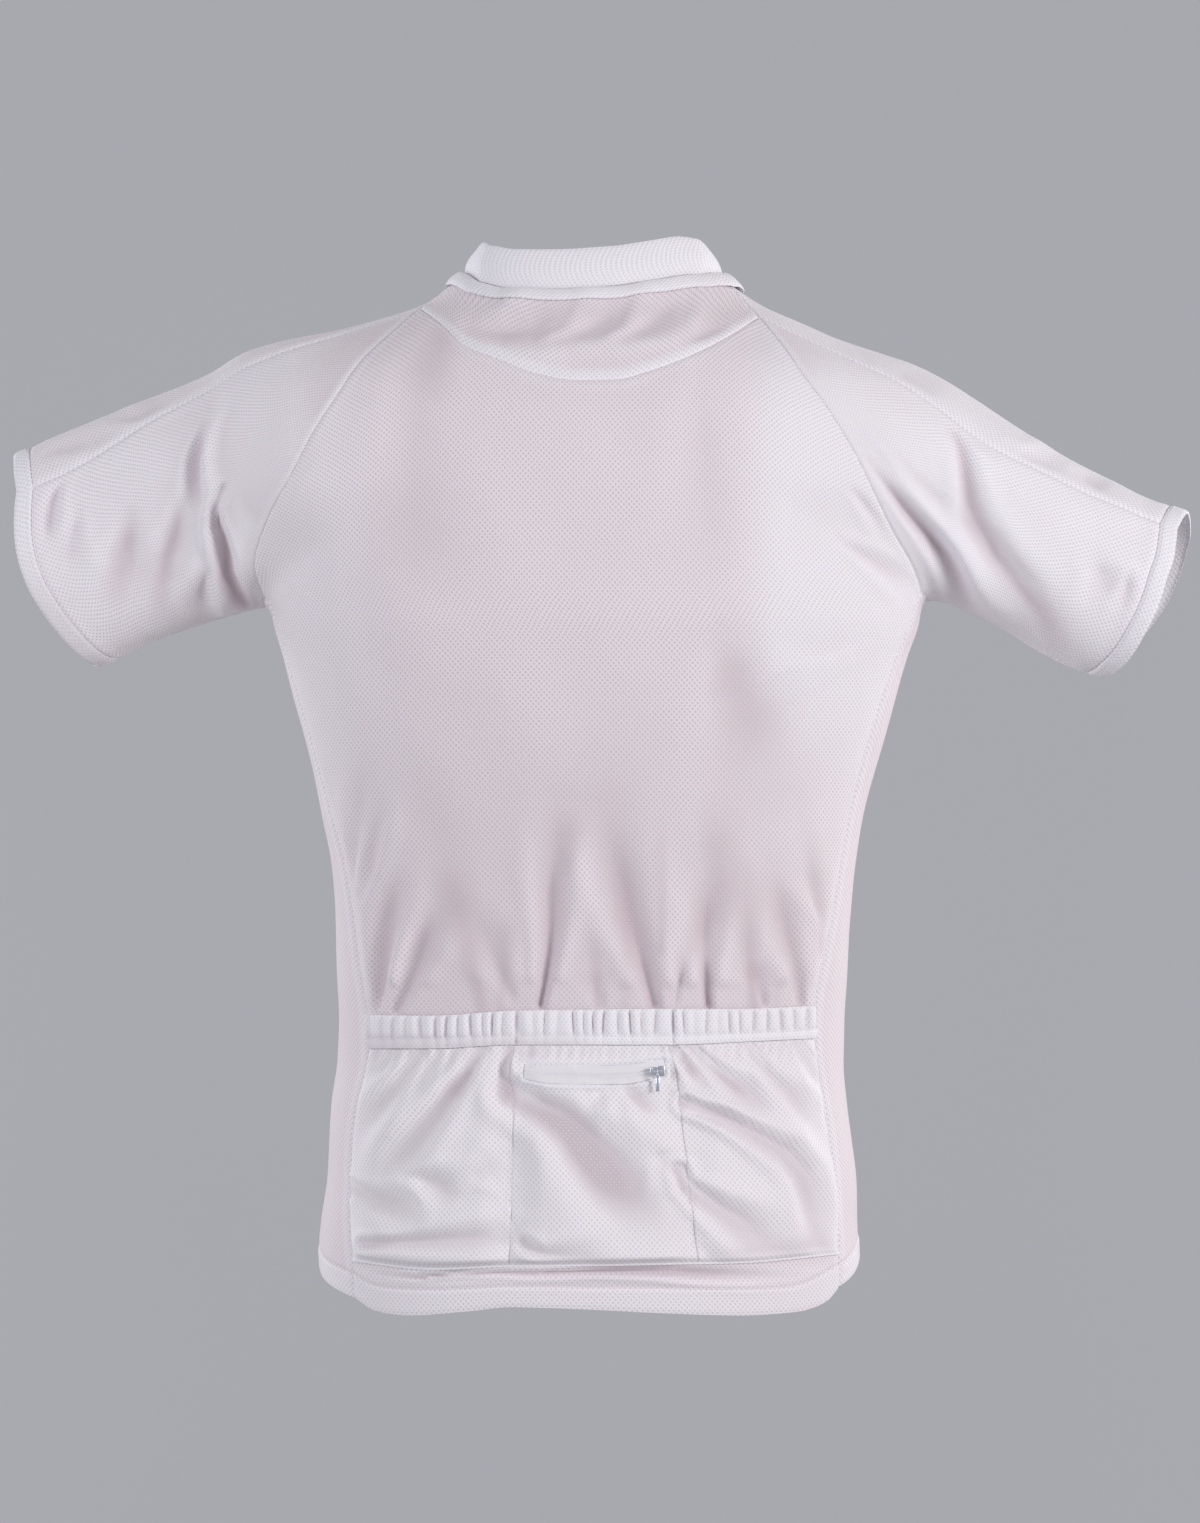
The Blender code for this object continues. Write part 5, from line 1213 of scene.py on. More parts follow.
def make_cuff(side):
    """A narrow folded band round a sleeve's end; gives the line for its stitches and its normals."""
    sleeve, _ = all_seams()[side]
    ring = join(sleeve["cuff_back"][::-1], sleeve["cuff_top"], sleeve["cuff_front"])
    out = unit(np.cross(outward(ring), np.gradient(ring, axis=0)))
    out *= np.sign(out[:, :1].mean()) * SIDES[side]
    out = unit(smoothed(out, 0.5, 60))
    part = np.array((0.0, 0.03, 0.1, 0.22, 0.36, 0.5, 0.64, 0.78, 0.9, 0.97, 1.0))[:, None]
    grid = settle(ring + out * CUFF_DEPTH * part[..., None])
    normal = outward(grid)
    rise = 1.0 * ease(part, 0.0, 0.2) * (1 - 0.8 * ease(part, 0.86, 1.0))
    rise = rise - 0.35 * bell(part - 0.24, 0.05) - 0.5 * bell(part, 0.04)
    rise = rise + 0.12 * ripple(grid, 11.0, 4.0) * ease(part, 0.1, 0.4)
    sheet = (grid + normal * rise[..., None], normal, CUFF_WALL)
    fields = {"allowance": 0.9}
    # The left cuff is painted darker than the right: less whitening, and painted shade on its lower part,
    # turned away from the light
    if side == "left":
        fields = {"allowance": 0.55, "fold": 0.9 * ease(-grid[..., 2], 165, 225)}
    knit_piece(f"cuff_{side}", sheet, round_map(grid), fields, knit("Trim knit"))
    return sheet[0][3], normal[3]


def make_collar(ring):
    """The stand collar, leaning in to its top edge; gives its grid, for the zip to follow."""
    out, angle = round_the_neck(ring)
    tall, lean = through(angle, COLLAR, 1), through(angle, COLLAR, 2)
    part = np.array((0.0, 0.03, 0.1, 0.2, 0.32, 0.44, 0.56, 0.68, 0.8, 0.9, 0.96, 0.99, 1.0))[:, None]
    grid = np.repeat(ring[None], len(part), axis=0)
    grid[..., 2] += 0.5 + part * tall
    grid[..., :2] -= out * (lean * part**1.6 - 1.2 * np.sin(math.pi * part))[..., None]
    normal = np.zeros_like(grid)
    normal[..., :2], normal[..., 2] = out, 0.25 * part
    normal = unit(normal)
    rise = 0.35 * ripple(grid, 46.0, 1.0) * ease(part, 0.15, 0.4) * (1 - ease(part, 0.8, 1.0))
    rise = rise - 0.7 * ease(part, 0.93, 1.0)
    sheet = (grid + normal * rise[..., None], normal, COLLAR_WALL - 1.3 * ease(part, 0.93, 1.0))
    fields = {"allowance": 0.75 * ease(part, 0.0, 0.1)}
    knit_piece("collar", sheet, round_map(grid), fields, knit("Trim knit"))
    return grid


def make_tape(ring, columns):
    """The rolled tape over the neck seam, walked down the panels under it from the neckline."""
    angle = round_the_neck(ring)[1]
    width = through(angle, TAPE, 1)
    parts = np.array((0.08, 0.12, 0.2, 0.32, 0.46, 0.6, 0.74, 0.86, 0.94, 0.98, 1.0))
    lines = [read_at(parts * wide, lengths_along(line), line) for wide, line in zip(width, columns)]
    grid = smoothed(np.stack(lines), 0.25, 6).swapaxes(0, 1)
    roll = np.clip(1 - np.abs((parts - 0.52) / 0.5) ** 2.6, 0, 1)[:, None]
    wall = 0.7 + 1.9 * roll + 0.15 * ripple(grid, 7.0, 3.0) * roll
    normal = outward(grid)
    under = LAYER_GAP * (1 + 3.6 * ease(angle, 50, 85))
    sheet = (grid + normal * (under + wall)[..., None], normal, wall)
    fields = {"allowance": 0.3}
    knit_piece("neck_tape", sheet, round_map(grid), fields, knit("Trim knit"))


def zip_window(place):
    """Distance outside the pocket zip's window on the drawing, negative inside it."""
    x, z = place[..., 0], place[..., 1]
    top, low = through(x, POCKET_ZIP, 1), through(x, POCKET_ZIP, 2)
    beside = np.maximum(POCKET_ZIP[0][0] - x, x - POCKET_ZIP[-1][0])
    above = np.maximum(z - top, low - z)
    outside = np.hypot(np.maximum(beside, 0), np.maximum(above, 0))
    return np.where((beside < 0) & (above < 0), np.maximum(beside, above), outside)


def pocket_height(grid):
    """The pockets' fullness less their creases, never into the back; the lip turns in to meet it."""
    place = drawn_place(grid)
    x, z = place[..., 0], place[..., 1]
    held, bottom = gap_from(place, *DIVIDER.values()), gap_from(place, POCKET_BOTTOM)
    full = pocket_rise(grid)
    flatter = 0.65 * ease(x, 50, 75) + 0.3 * ease(-x, 45, 75)
    full = full * (1 - flatter * bell(bottom, 16))
    height = full + creases(grid, outward(grid), "pocket")
    height = height + 0.75 * POCKET_SAG * (1 - ease(held, 0, 8)) * bell(bottom, 12)
    height = (height + np.sqrt(height**2 + 2.0 * ease(full, 0.0, 3.0))) / 2
    gap = z - through(x, POCKET_BOTTOM, 1)
    return 0.2 + height * ease(gap, -0.4, 4.5 - 2.3 * ease(x, 50, 75))


def pocket_grid():
    """The three pockets side by side, closer ruled beside their seams, and the lip at the bottom."""
    tops = cut_at(LOWER_BAND_LINE, [DIVIDER[side][0][0] for side in SIDES])
    lows = cut_at(POCKET_BOTTOM, [DIVIDER[side][-1][0] for side in SIDES])
    sides = [POCKET_SIDE["left"], DIVIDER["left"], DIVIDER["right"], POCKET_SIDE["right"]]
    sides = [curve(line, POCKET_ROWS) for line in sides]
    for k, line in enumerate(sides):
        line[0] = tops[min(k, 2)][0 if k < 3 else -1]
        line[-1] = lows[min(k, 2)][0 if k < 3 else -1]
    thirds = []
    for k, count in enumerate(POCKET_COLUMNS):
        third = spanned(even(tops[k], count), even(lows[k], count), sides[k], sides[k + 1])
        thirds.append(edged(third, 1, (0.2, 0.45, 0.7))[:, 1 if k else 0 :])
    flat = np.concatenate(thirds, axis=1)
    lip = np.stack([flat[-1] + (0.0, -drop) for drop in (0.4, 0.8, 1.2, 1.6)])
    flat = np.concatenate([flat, lip])
    flat[:, 0, 0] += 0.6
    flat[:, -1, 0] -= 0.6
    return sighted(flat)


def top_gathers(grid, top, window):
    """Short pleats that run down from the band, with a drifting spacing and depth."""
    run = grid[..., 0] + 0.25 * top
    wave = np.sin(run * 0.86 + 1.5 * np.sin(run * 0.11) + 0.8 * np.sin(run * 0.29))
    wave = (0.8 * wave - 0.4) * (0.85 + 0.4 * np.sin(run * 0.052 + 2.0))
    return wave * bell(top, 11.0) * ease(top, 0.2, 1.6) * ease(window, 0.0, 6.0)


def make_pocket_panel():
    """The panel of three pockets; gives its skin, normals and the columns of its two dividers."""
    grid = pocket_grid()
    place = drawn_place(grid)
    normal = outward(grid)
    near = gap_from(place, *DIVIDER.values())
    edges = edges_of(grid)
    side = np.minimum(edges["left"], edges["right"])
    window = zip_window(place)
    height = pocket_height(grid)
    height = height + 1.9 * bell(window - 1.7, 1.3) * ease(window, -1.0, 0.6)
    height = np.where(window < 0, np.maximum(height - 0.3, 0.1), height)
    # Painted shade in the pockets' creases, from their depth and from the pocket_shade table, which
    # leaves the cloth flat
    deep = -creases(grid, normal, "pocket") / 6.5 * ease(edges["bottom"], 4, 14)
    shade = -creases(grid, normal, "pocket_shade") / 5.0
    fold = np.maximum(np.clip((pocket_rise(grid) - height) / 4.2, -0.5, 1.0), np.minimum(deep, 1.3))
    fold = fold * ease(edges["bottom"], 2, 10) + np.maximum(shade, 0.0)
    groove = 0.8 * bell(near, 0.6) + 0.5 * bell(side - 2.2, 0.9)
    pucker = 0.35 * ripple(grid, 8.0, 5.0) * bell(near - 3.5, 3.5)
    gather = top_gathers(grid, edges["top"], window)
    # painted shade in the pleats between the gathers and along the divider stitching
    fold = np.maximum(fold, -0.4 * gather) + 0.6 * bell(near, 0.5)
    soft = 0.45 * ripple(grid, 60.0, 6.0) * ease(side, 3, 14) * ease(near, 1, 10)
    height = np.maximum(height - groove + pucker + gather + soft, 0.05)
    sewn = 1 - ease(side, 0.2, 2.6)
    lift = (height + LAYER_GAP + CLOTH) * (1 - sewn) + 0.75 * sewn
    skin = grid + normal * lift[..., None]
    beside = (
        0.7 * (1 - ease(side, 5.0, 7.5)), 0.9 * (1 - ease(window, 3.4, 4.8)),
        0.5 * (1 - ease(edges["bottom"], 3.0, 6.0)),
    )
    fields = {"allowance": np.max(beside, axis=0), "fold": fold}
    sheet = (skin, normal, CLOTH - 0.8 * sewn)
    knit_piece("pocket_panel", sheet, knit_map(grid), fields, knit("Pocket knit"))
    first = POCKET_COLUMNS[0] + 5
    return skin, normal, (first, first + POCKET_COLUMNS[1] + 5)


def make_band():
    """The gathered elastic band over the pockets; gives its skin and normals."""
    lines = [curve(line, BAND_STEPS) for line in (BAND_LINE, TUNNEL_LINE, LOWER_BAND_LINE)]
    lines[0] = lines[0] * (0.99, 1)
    # between which lines, how far between them, how far out, how deep the gathers
    rows = (
        (0, 0.0, 0.1, 0.3), (0, 0.04, 0.5, 0.6), (0, 0.1, 0.78, 0.85), (0, 0.2, 0.95, 1.0),
        (0, 0.34, 1.0, 1.0), (0, 0.5, 1.0, 1.0), (0, 0.66, 0.97, 1.0), (0, 0.8, 0.85, 0.9),
        (0, 0.9, 0.55, 0.7), (0, 0.96, 0.25, 0.5), (1, 0.0, 0.1, 0.3), (1, 0.14, 0.28, 0.25),
        (1, 0.32, 0.38, 0.2), (1, 0.5, 0.4, 0.2), (1, 0.7, 0.34, 0.2), (1, 0.82, 0.2, 0.2),
        (1, 0.9, 0.05, 0.15), (1, 0.96, 0.0, 0.1),
    )
    grid = sighted(np.stack([lines[k] * (1 - t) + lines[k + 1] * t for k, t, _, _ in rows]))
    out, deep = np.array(rows)[:, 2:].T[..., None]
    x = grid[..., 0]
    # Each gather is a rounded roll with a narrow crease beside it; their spacing drifts
    turn = x * 0.79 + 1.2 * np.sin(x * 0.083) + 0.6 * np.sin(x * 0.211 + 1.0)
    turn = turn + 0.05 * run_length(grid, 0) * np.sin(x * 0.19 + 0.5)
    strong = 0.85 + 0.2 * np.sin(x * 0.061 + 0.6) + 0.25 * np.sin(x * 0.37)
    pinch = deep * strong * (1 - np.abs(np.sin(turn / 2)) ** 0.9)
    seams = np.max([bell(x - at, 1.0) for at in BAND_SEAMS], axis=0)
    rise = BAND_ROLL * out - 2.9 * pinch - 2.0 * seams * (0.4 + out)
    rise = np.maximum(rise + 1.0, 0.05)
    normal = outward(grid)
    skin = grid + normal * (rise + LAYER_GAP + CLOTH)[..., None]
    weave = knit_map(grid)
    weave[..., 0] *= 1.25
    # Painted shading: shade in each gather's crease and along the sewn-down lines, highlight on the
    # rolls, and shade over the lower left of the band
    fold = 1.1 * pinch - 0.38 + 0.9 * seams + ease(-grid[..., 2], 488, 497) * ease(-x, -15, 20)
    fields = {"allowance": 0.8, "fold": fold}
    sheet = (skin, normal, CLOTH)
    knit_piece("pocket_band", sheet, weave, fields, knit("Pocket knit"))
    return skin, normal


def make_pocket_zip():
    """The tape of the pocket zip in its window, with its coil and the closing line between."""
    across = np.linspace(POCKET_ZIP[0][0], POCKET_ZIP[-1][0], POCKET_ZIP_POINTS)
    top, low = through(across, POCKET_ZIP, 1), through(across, POCKET_ZIP, 2)
    parts = np.array(
        (0.03, 0.06, 0.14, 0.24, 0.32, 0.36, 0.41, 0.45, 0.48, 0.495, 0.505,
         0.52, 0.55, 0.59, 0.64, 0.68, 0.76, 0.86, 0.94, 0.97)
    )
    flat = [np.stack([across, top + (low - top) * part], axis=1) for part in parts]
    grid = sighted(np.stack(flat))
    normal = unit(smoothed(outward(grid).swapaxes(0, 1), 0.5, 12).swapaxes(0, 1))
    coil = 0.85 * bell(np.abs(parts - 0.5) - 0.085, 0.062)
    coil = coil - 0.35 * bell(parts - 0.5, 0.02)
    ribs = 0.06 * np.cos(parts * 2 * math.pi * 9)
    wall = np.maximum(0.75 + coil + ribs, 0.5)[:, None]
    lift = pocket_height(grid) + 2 * LAYER_GAP - 0.6 + CLOTH + wall
    sheet = (grid + normal * lift[..., None], normal, wall)
    tape = finish("Zip tape", tape_look)
    thing = sheet_mesh("pocket_zip_tape", *sheet, round_map(grid), {"allowance": 0.0}, tape)
    as_cloth(thing, "pocket_zip", sheet[0])


def make_front_zip(collar):
    """The closed front zip from the top of the collar to the hem, with its interlocked teeth."""
    edges = [
        join(collar[::-1, at], body["centre"][1:], body["centre_hem"][1:])
        for at, (_, body) in zip((0, -1), all_seams().values())
    ]
    middle = even((edges[0] + edges[1]) / 2, ZIP_STEPS)
    rise = np.diff(middle, axis=0, append=middle[-1:] * 2 - middle[-2:-1])
    away = np.stack([0 * rise[:, 2], -rise[:, 2], rise[:, 1]], axis=1)
    away = unit(smoothed(away, 0.5, 40))
    half = (0.0, 0.45, 0.9, 1.3, 1.7, 2.3, ZIP_HALF)
    columns = np.array([-at for at in half[:0:-1]] + list(half))
    turn = np.arange(len(middle))[:, None] * 2 * math.pi / 3 + np.where(columns > 0, math.pi, 0.0)
    tooth = 0.5 + 0.5 * np.sin(turn)
    out = (0.45 + 0.4 * tooth) * (1 - ease(np.abs(columns), 1.1, 1.6))
    skin = middle[:, None] + away[:, None] * out[..., None]
    skin[..., 0] += columns
    weave = flat_place(0 * out + columns, run_length(skin, 0))
    sheet = (skin, np.broadcast_to(away[:, None], skin.shape), out + CLOTH)
    tape = finish("Zip tape", tape_look)
    thing = sheet_mesh("front_zip_tape", *sheet, weave, {"allowance": 0.0}, tape)
    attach(thing, "garment")
    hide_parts("front_zip")


# ---- zip sliders and pulls

ACROSS = (0, math.pi / 2, 0)


def deselect():
    for thing in bpy.context.view_layer.objects:
        thing.select_set(False)


def rounded(thing, width, segments):
    """A block with its edges bevelled, once its size is applied."""
    bpy.ops.object.transform_apply(location=True, rotation=True, scale=True)
    modifier = thing.modifiers.new("round", "BEVEL")
    modifier.width = width * MM
    modifier.segments = segments
    modifier.limit_method = "ANGLE"
    bpy.ops.object.modifier_apply(modifier=modifier.name)
    return thing


def bar_of(centre, size, bevel):
    """A rounded block, added and bevelled as by hand; sizes in millimetres."""
    deselect()
    bpy.ops.mesh.primitive_cube_add(size=1, location=[at * MM for at in centre])
    bpy.context.object.scale = [side * MM for side in size]
    return rounded(bpy.context.object, bevel, 3)


def rod_of(centre, radius, length):
    """A round bar that lies across, its ends rounded."""
    deselect()
    bpy.ops.mesh.primitive_cylinder_add(
        vertices=24, radius=radius * MM, depth=length * MM,
        location=[at * MM for at in centre], rotation=ACROSS,
    )
    return rounded(bpy.context.object, 0.12, 2)


def wire_loop(centre, half, radius, tall):
    """A ring of wire in the plane across the bar, a little taller than it is wide."""
    deselect()
    bpy.ops.mesh.primitive_torus_add(
        location=[at * MM for at in centre], rotation=ACROSS,
        major_segments=36, minor_segments=12, major_radius=half * MM, minor_radius=radius * MM,
    )
    thing = bpy.context.object
    bpy.ops.object.transform_apply(location=True, rotation=True, scale=True)
    middle = centre[2] * MM
    for vert in thing.data.vertices:
        vert.co.z = middle + (vert.co.z - middle) * tall
    return thing


def one_piece(name, things, body, node):
    """Blocks joined to one object of zip metal that rides on a body in place of a node."""
    deselect()
    for thing in things:
        thing.select_set(True)
    bpy.context.view_layer.objects.active = things[0]
    bpy.ops.object.join()
    made = bpy.context.object
    made.name = name
    made.data.name = name
    made.data.materials.clear()
    made.data.materials.append(finish("Zip metal", metal_look))
    bpy.ops.object.shade_smooth_by_angle(angle=math.radians(40))
    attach(made, body)
    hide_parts(node)


def make_slider(name, node, lengthwise):
    """A slider's shield with its waist, side flanges, and the bridge that holds the pull."""
    low, high = (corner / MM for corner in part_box(node))
    x, z = (low.x + high.x) / 2, (low.z + high.z) / 2
    away, base = (-1, high.y) if low.y < 0 else (1, low.y)
    long, wide = high.x - low.x, high.z - low.z
    if lengthwise == "Z":
        long, wide = wide, long
    plate, hinge = base + away * 0.8, base + away * 4.07
    flange, behind = wide / 2 - 0.5, plate - away * 0.35
    # how far along and across, how far out, then the length, width, depth and bevel
    bars = (
        (0, 0, plate, long - 2.4, wide - 1.6, 1.3, 0.5),
        (long * 0.22, 0, plate, long * 0.5, wide - 0.2, 1.25, 0.55),
        (-long * 0.28, 0, plate, long * 0.42, wide - 2.2, 1.2, 0.5),
        (long * 0.2, -flange, behind, long * 0.5, 0.8, 1.5, 0.3),
        (long * 0.2, flange, behind, long * 0.5, 0.8, 1.5, 0.3),
    )
    things = []
    for run, side, y, length, width, deep, bevel in bars:
        if lengthwise == "X":
            things.append(bar_of((x + run, y, z + side), (length, deep, width), bevel))
        else:
            things.append(bar_of((x + side, y, z + run), (width, deep, length), bevel))
    leg = (0.9, abs(hinge - plate) + 0.9, 1.5)
    for end in (-2.1, 2.1):
        things.append(bar_of((x + end, (plate + hinge) / 2, z), leg, 0.3))
    things.append(rod_of((x, hinge, z), 0.58, 4.9))
    one_piece(name, things, "garment", node)


def make_pull(name, node):
    """A ring of wire round the bar and a slim tab with a slot near its end; it is its own body."""
    low, high = (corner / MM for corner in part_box(node))
    x, y = (low.x + high.x) / 2, (low.y + high.y) / 2
    hinge, tip = high.z - 1.5, low.z
    long, middle = hinge - 3.0 - tip, (hinge - 3.0 + tip) / 2
    # how far across, how high, its size and bevel
    bars = (
        (0, hinge - 2.4, (1.3, 0.8, 2.6), 0.3),
        (-0.95, middle, (0.8, 0.85, long), 0.3),
        (0.95, middle, (0.8, 0.85, long), 0.3),
        (0, hinge - 3.6, (2.7, 0.85, 1.4), 0.32),
        (0, tip + 1.0, (2.9, 0.85, 2.0), 0.36),
        (0, middle, (1.8, 0.4, long - 1.2), 0.12),
    )
    things = [wire_loop((x, y, hinge - 0.1), 1.12, 0.34, 1.12)]
    things += [bar_of((x + side, y, z), size, bevel) for side, z, size, bevel in bars]
    one_piece(name, things, node, node)


# ---- finishes

FIRST_COLUMN, NODE_STEP = -1400, 200  # where the first nodes stand, and how far apart


def put(tree, inputs, values):
    """Sets inputs of a node, each to a value or to what another node gives."""
    for name, value in values.items():
        if isinstance(value, bpy.types.NodeSocket):
            tree.links.new(value, inputs[name])
        else:
            inputs[name].default_value = value


def node(tree, kind, values, **settings):
    """A new node, in the column after the last of those that feed it and under its neighbours."""
    made = tree.nodes.new(kind)
    for name, value in settings.items():
        setattr(made, name, value)
    put(tree, made.inputs, values)
    feeds = [
        value.node.location.x for value in values.values() if isinstance(value, bpy.types.NodeSocket)
    ]
    column = max(feeds, default=FIRST_COLUMN - NODE_STEP) + NODE_STEP
    above = sum(other.location.x == column for other in tree.nodes if other != made)
    made.location = (column, -above * NODE_STEP)
    return made


def maths(tree, operation, *values, clamp=False):
    values = dict(enumerate(values))
    return node(tree, "ShaderNodeMath", values, operation=operation, use_clamp=clamp).outputs[0]


def field(tree, name):
    """A value that the cloth keeps at each of its points."""
    return node(tree, "ShaderNodeAttribute", {}, attribute_name=name).outputs["Fac"]


def cloud(tree, scale, detail=2.0):
    """Noise that stays with the object."""
    spots = node(tree, "ShaderNodeTexCoord", {}).outputs["Object"]
    values = {"Vector": spots, "Scale": scale, "Detail": detail}
    return node(tree, "ShaderNodeTexNoise", values).outputs["Fac"]


def smooth_step(tree, value, start, end):
    values = {"Value": value, "From Min": start, "From Max": end}
    made = node(tree, "ShaderNodeMapRange", values, interpolation_type="SMOOTHSTEP")
    return made.outputs[0]


def blend_colours(tree, factor, first, second):
    """One colour over another by a factor; either colour may be a socket."""
    values = {"Factor": factor}
    for name, value in (("A", first), ("B", second)):
        values[name] = value if isinstance(value, bpy.types.NodeSocket) else (*value, 1)
    return node(tree, "ShaderNodeMix", values, data_type="RGBA").outputs["Result"]


def tinted(colour, *by):
    """A colour times one shade, or times a shade for each channel."""
    return [c * k for c, k in zip(colour, by if len(by) == 3 else by * 3)]


def raised(tree, height, deep, strength=1.0):
    """Normals for a relief this many millimetres deep."""
    values = {"Strength": strength, "Distance": deep * MM, "Height": height}
    return node(tree, "ShaderNodeBump", values).outputs["Normal"]


def finish(name, look, *values):
    """The material of this name, with the look it is given the first time it is asked for."""
    if name not in bpy.data.materials:
        material = bpy.data.materials.new(name)
        material.use_nodes = True
        tree = material.node_tree
        put(tree, tree.nodes["Principled BSDF"].inputs, look(tree, *values))
    return bpy.data.materials[name]


def knit_group():
    """Birdseye knit: staggered holes between raised stitches, and the fine yarn across them.

    Takes the place on the flat cloth in tenths of a metre. Gives how much of a hole there is, and
    the height of the yarn, both from 0 to 1.
    """
    if "Birdseye knit" in bpy.data.node_groups:
        return bpy.data.node_groups["Birdseye knit"]
    tree = bpy.data.node_groups.new("Birdseye knit", "ShaderNodeTree")
    for name, way, kind in (
        ("Weave", "INPUT", "Vector"), ("Across", "INPUT", "Float"), ("Down", "INPUT", "Float"),
        ("Hole", "OUTPUT", "Float"), ("Height", "OUTPUT", "Float"),
    ):
        tree.interface.new_socket(name, in_out=way, socket_type="NodeSocket" + kind)
    start = node(tree, "NodeGroupInput", {}).outputs
    values = {"Vector": start["Weave"], "Scale": 9.0, "Detail": 2.0}
    wobble = node(tree, "ShaderNodeTexNoise", values).outputs["Fac"]
    part = node(tree, "ShaderNodeSeparateXYZ", {0: start["Weave"]}).outputs
    u = maths(tree, "MULTIPLY", part["X"], start["Across"])
    u = maths(tree, "ADD", u, maths(tree, "MULTIPLY_ADD", wobble, 0.5, -0.25))
    v = maths(tree, "MULTIPLY", part["Y"], start["Down"])
    u, v = (maths(tree, "MULTIPLY", turn, 2 * math.pi) for turn in (u, v))
    lattice = maths(tree, "MULTIPLY", *(maths(tree, "COSINE", turn) for turn in (u, v)))
    hole = smooth_step(tree, lattice, 0.12, 0.85)
    yarn = maths(tree, "COSINE", maths(tree, "MULTIPLY", v, 4.0))
    height = maths(tree, "MULTIPLY_ADD", hole, -0.8, 0.85)
    height = maths(tree, "MULTIPLY_ADD", yarn, 0.06, height)
    node(tree, "NodeGroupOutput", {"Hole": hole, "Height": height})
    return tree


def knit_look(tree, cloth, doubled, hole_shade):
    """White knit: cloth is its colour where single, and whiter where two or three layers lie together;
    the same whiter colour paints highlights on crease banks and lit places, and a darker pink paints
    shade in the creases.
    """
    sizes = bpy.context.scene.jersey_sizes
    weave = node(tree, "ShaderNodeUVMap", {}, uv_map="weave").outputs["UV"]
    values = {"Weave": weave, "Across": 0.1 / sizes.hole_across, "Down": 0.1 / sizes.hole_down}
    pattern = node(tree, "ShaderNodeGroup", values, node_tree=knit_group()).outputs
    # The first field marks doubled layers and painted highlights; the second is painted shading,
    # darkening creases and whitening their banks
    doubling_and_highlight, folded = field(tree, "allowance"), field(tree, "fold")
    drift = maths(tree, "MULTIPLY_ADD", cloud(tree, 7.0, 3.0), 0.5, -0.05)
    high = maths(tree, "MULTIPLY", folded, -1.3, clamp=True)
    deep = maths(tree, "MULTIPLY", folded, 0.48, clamp=True)
    seen = maths(tree, "MULTIPLY", pattern["Hole"], maths(tree, "MULTIPLY_ADD", doubling_and_highlight, -0.45, 1.0))
    colour = cloth
    for factor, over in (
        # doubled layers, and painted highlights where light falls on shoulders, sleeves and strips
        (doubling_and_highlight, doubled),
        (drift, tinted(cloth, 0.99, 0.955, 0.96)),
        # painted highlight on crease banks and gathers
        (high, doubled),
        # painted shade in the creases
        (deep, tinted(cloth, 0.71, 0.635, 0.66)),
        (seen, tinted(tinted(cloth, hole_shade), 1.0, 0.975, 0.985)),
    ):
        colour = blend_colours(tree, factor, colour, over)
    return {
        "Base Color": colour,
        "Normal": raised(tree, pattern["Height"], 0.3, 0.8),
        "Roughness": maths(tree, "MULTIPLY_ADD", pattern["Hole"], 0.12, 0.72),
        "Sheen Weight": 0.25, "Sheen Roughness": 0.45, "Specular IOR Level": 0.25,
    }


def knit(name):
    """One of the three knits, by its name; the holes of the last two look less dark."""
    colours = bpy.context.scene.jersey_colours
    cloth, hole_shade = {
        "Single knit": (colours.knit, 0.8),
        "Pocket knit": (colours.pocket, 0.84),
        "Trim knit": (colours.trim, 0.84),
    }[name]
    return finish(name, knit_look, list(cloth), list(colours.doubled), hole_shade)


def tape_look(tree):
    """Close woven zip tape, with fine ribs along it."""
    first = list(bpy.context.scene.jersey_colours.tape)
    weave = node(tree, "ShaderNodeUVMap", {}, uv_map="weave").outputs["UV"]
    part = node(tree, "ShaderNodeSeparateXYZ", {0: weave}).outputs
    along_it, over_it = (
        maths(tree, "SINE", maths(tree, "MULTIPLY", part[axis], close))
        for axis, close in (("X", 780.0), ("Y", 980.0))
    )
    ribs = maths(tree, "MULTIPLY_ADD", along_it, 0.4, over_it)
    shade = maths(tree, "MULTIPLY_ADD", ribs, 0.12, 0.3)
    return {
        "Base Color": blend_colours(tree, shade, first, tinted(first, 0.86)),
        "Normal": raised(tree, ribs, 0.06, 0.6),
        "Roughness": 0.55, "Sheen Weight": 0.15,
    }


def thread_look(tree):
    """Soft polyester thread, twisted."""
    first = list(bpy.context.scene.jersey_colours.thread)
    twist = cloud(tree, 900.0)
    return {
        "Base Color": blend_colours(tree, twist, first, tinted(first, 0.9)),
        "Normal": raised(tree, twist, 0.05),
        "Roughness": 0.5,
    }


def metal_look(tree):
    """Plated zip metal with faint wear and tool marks."""
    first = list(bpy.context.scene.jersey_colours.metal)
    wear = cloud(tree, 420.0, 4.0)
    return {
        "Base Color": blend_colours(tree, wear, first, tinted(first, 0.72)),
        "Normal": raised(tree, wear, 0.03, 0.25),
        "Roughness": maths(tree, "MULTIPLY_ADD", wear, 0.22, 0.2),
        "Metallic": 1.0,
    }


def paper_look(tree):
    """Matt paper, darker on the floor than on the backdrop."""
    first = list(bpy.context.scene.jersey_colours.paper)
    spots = node(tree, "ShaderNodeTexCoord", {}).outputs["Object"]
    part = node(tree, "ShaderNodeSeparateXYZ", {0: spots}).outputs
    rise = smooth_step(tree, part["Z"], FLOOR, FLOOR + 0.7)
    paper = blend_colours(tree, cloud(tree, 1.5), first, tinted(first, 0.99))
    colour = blend_colours(tree, rise, tinted(first, 0.72), paper)
    return {"Base Color": colour, "Roughness": 0.9, "Specular IOR Level": 0.0}


# ---- stage

FLOOR = -2.7  # height of the floor, in metres as all of the stage
FLOOR_RADIUS = 4.2
SWEEP = (1.8, 0.8)  # how far out and up the paper curves to the backdrop
SWEEP_STEPS = 12
BACKDROP = 9.0
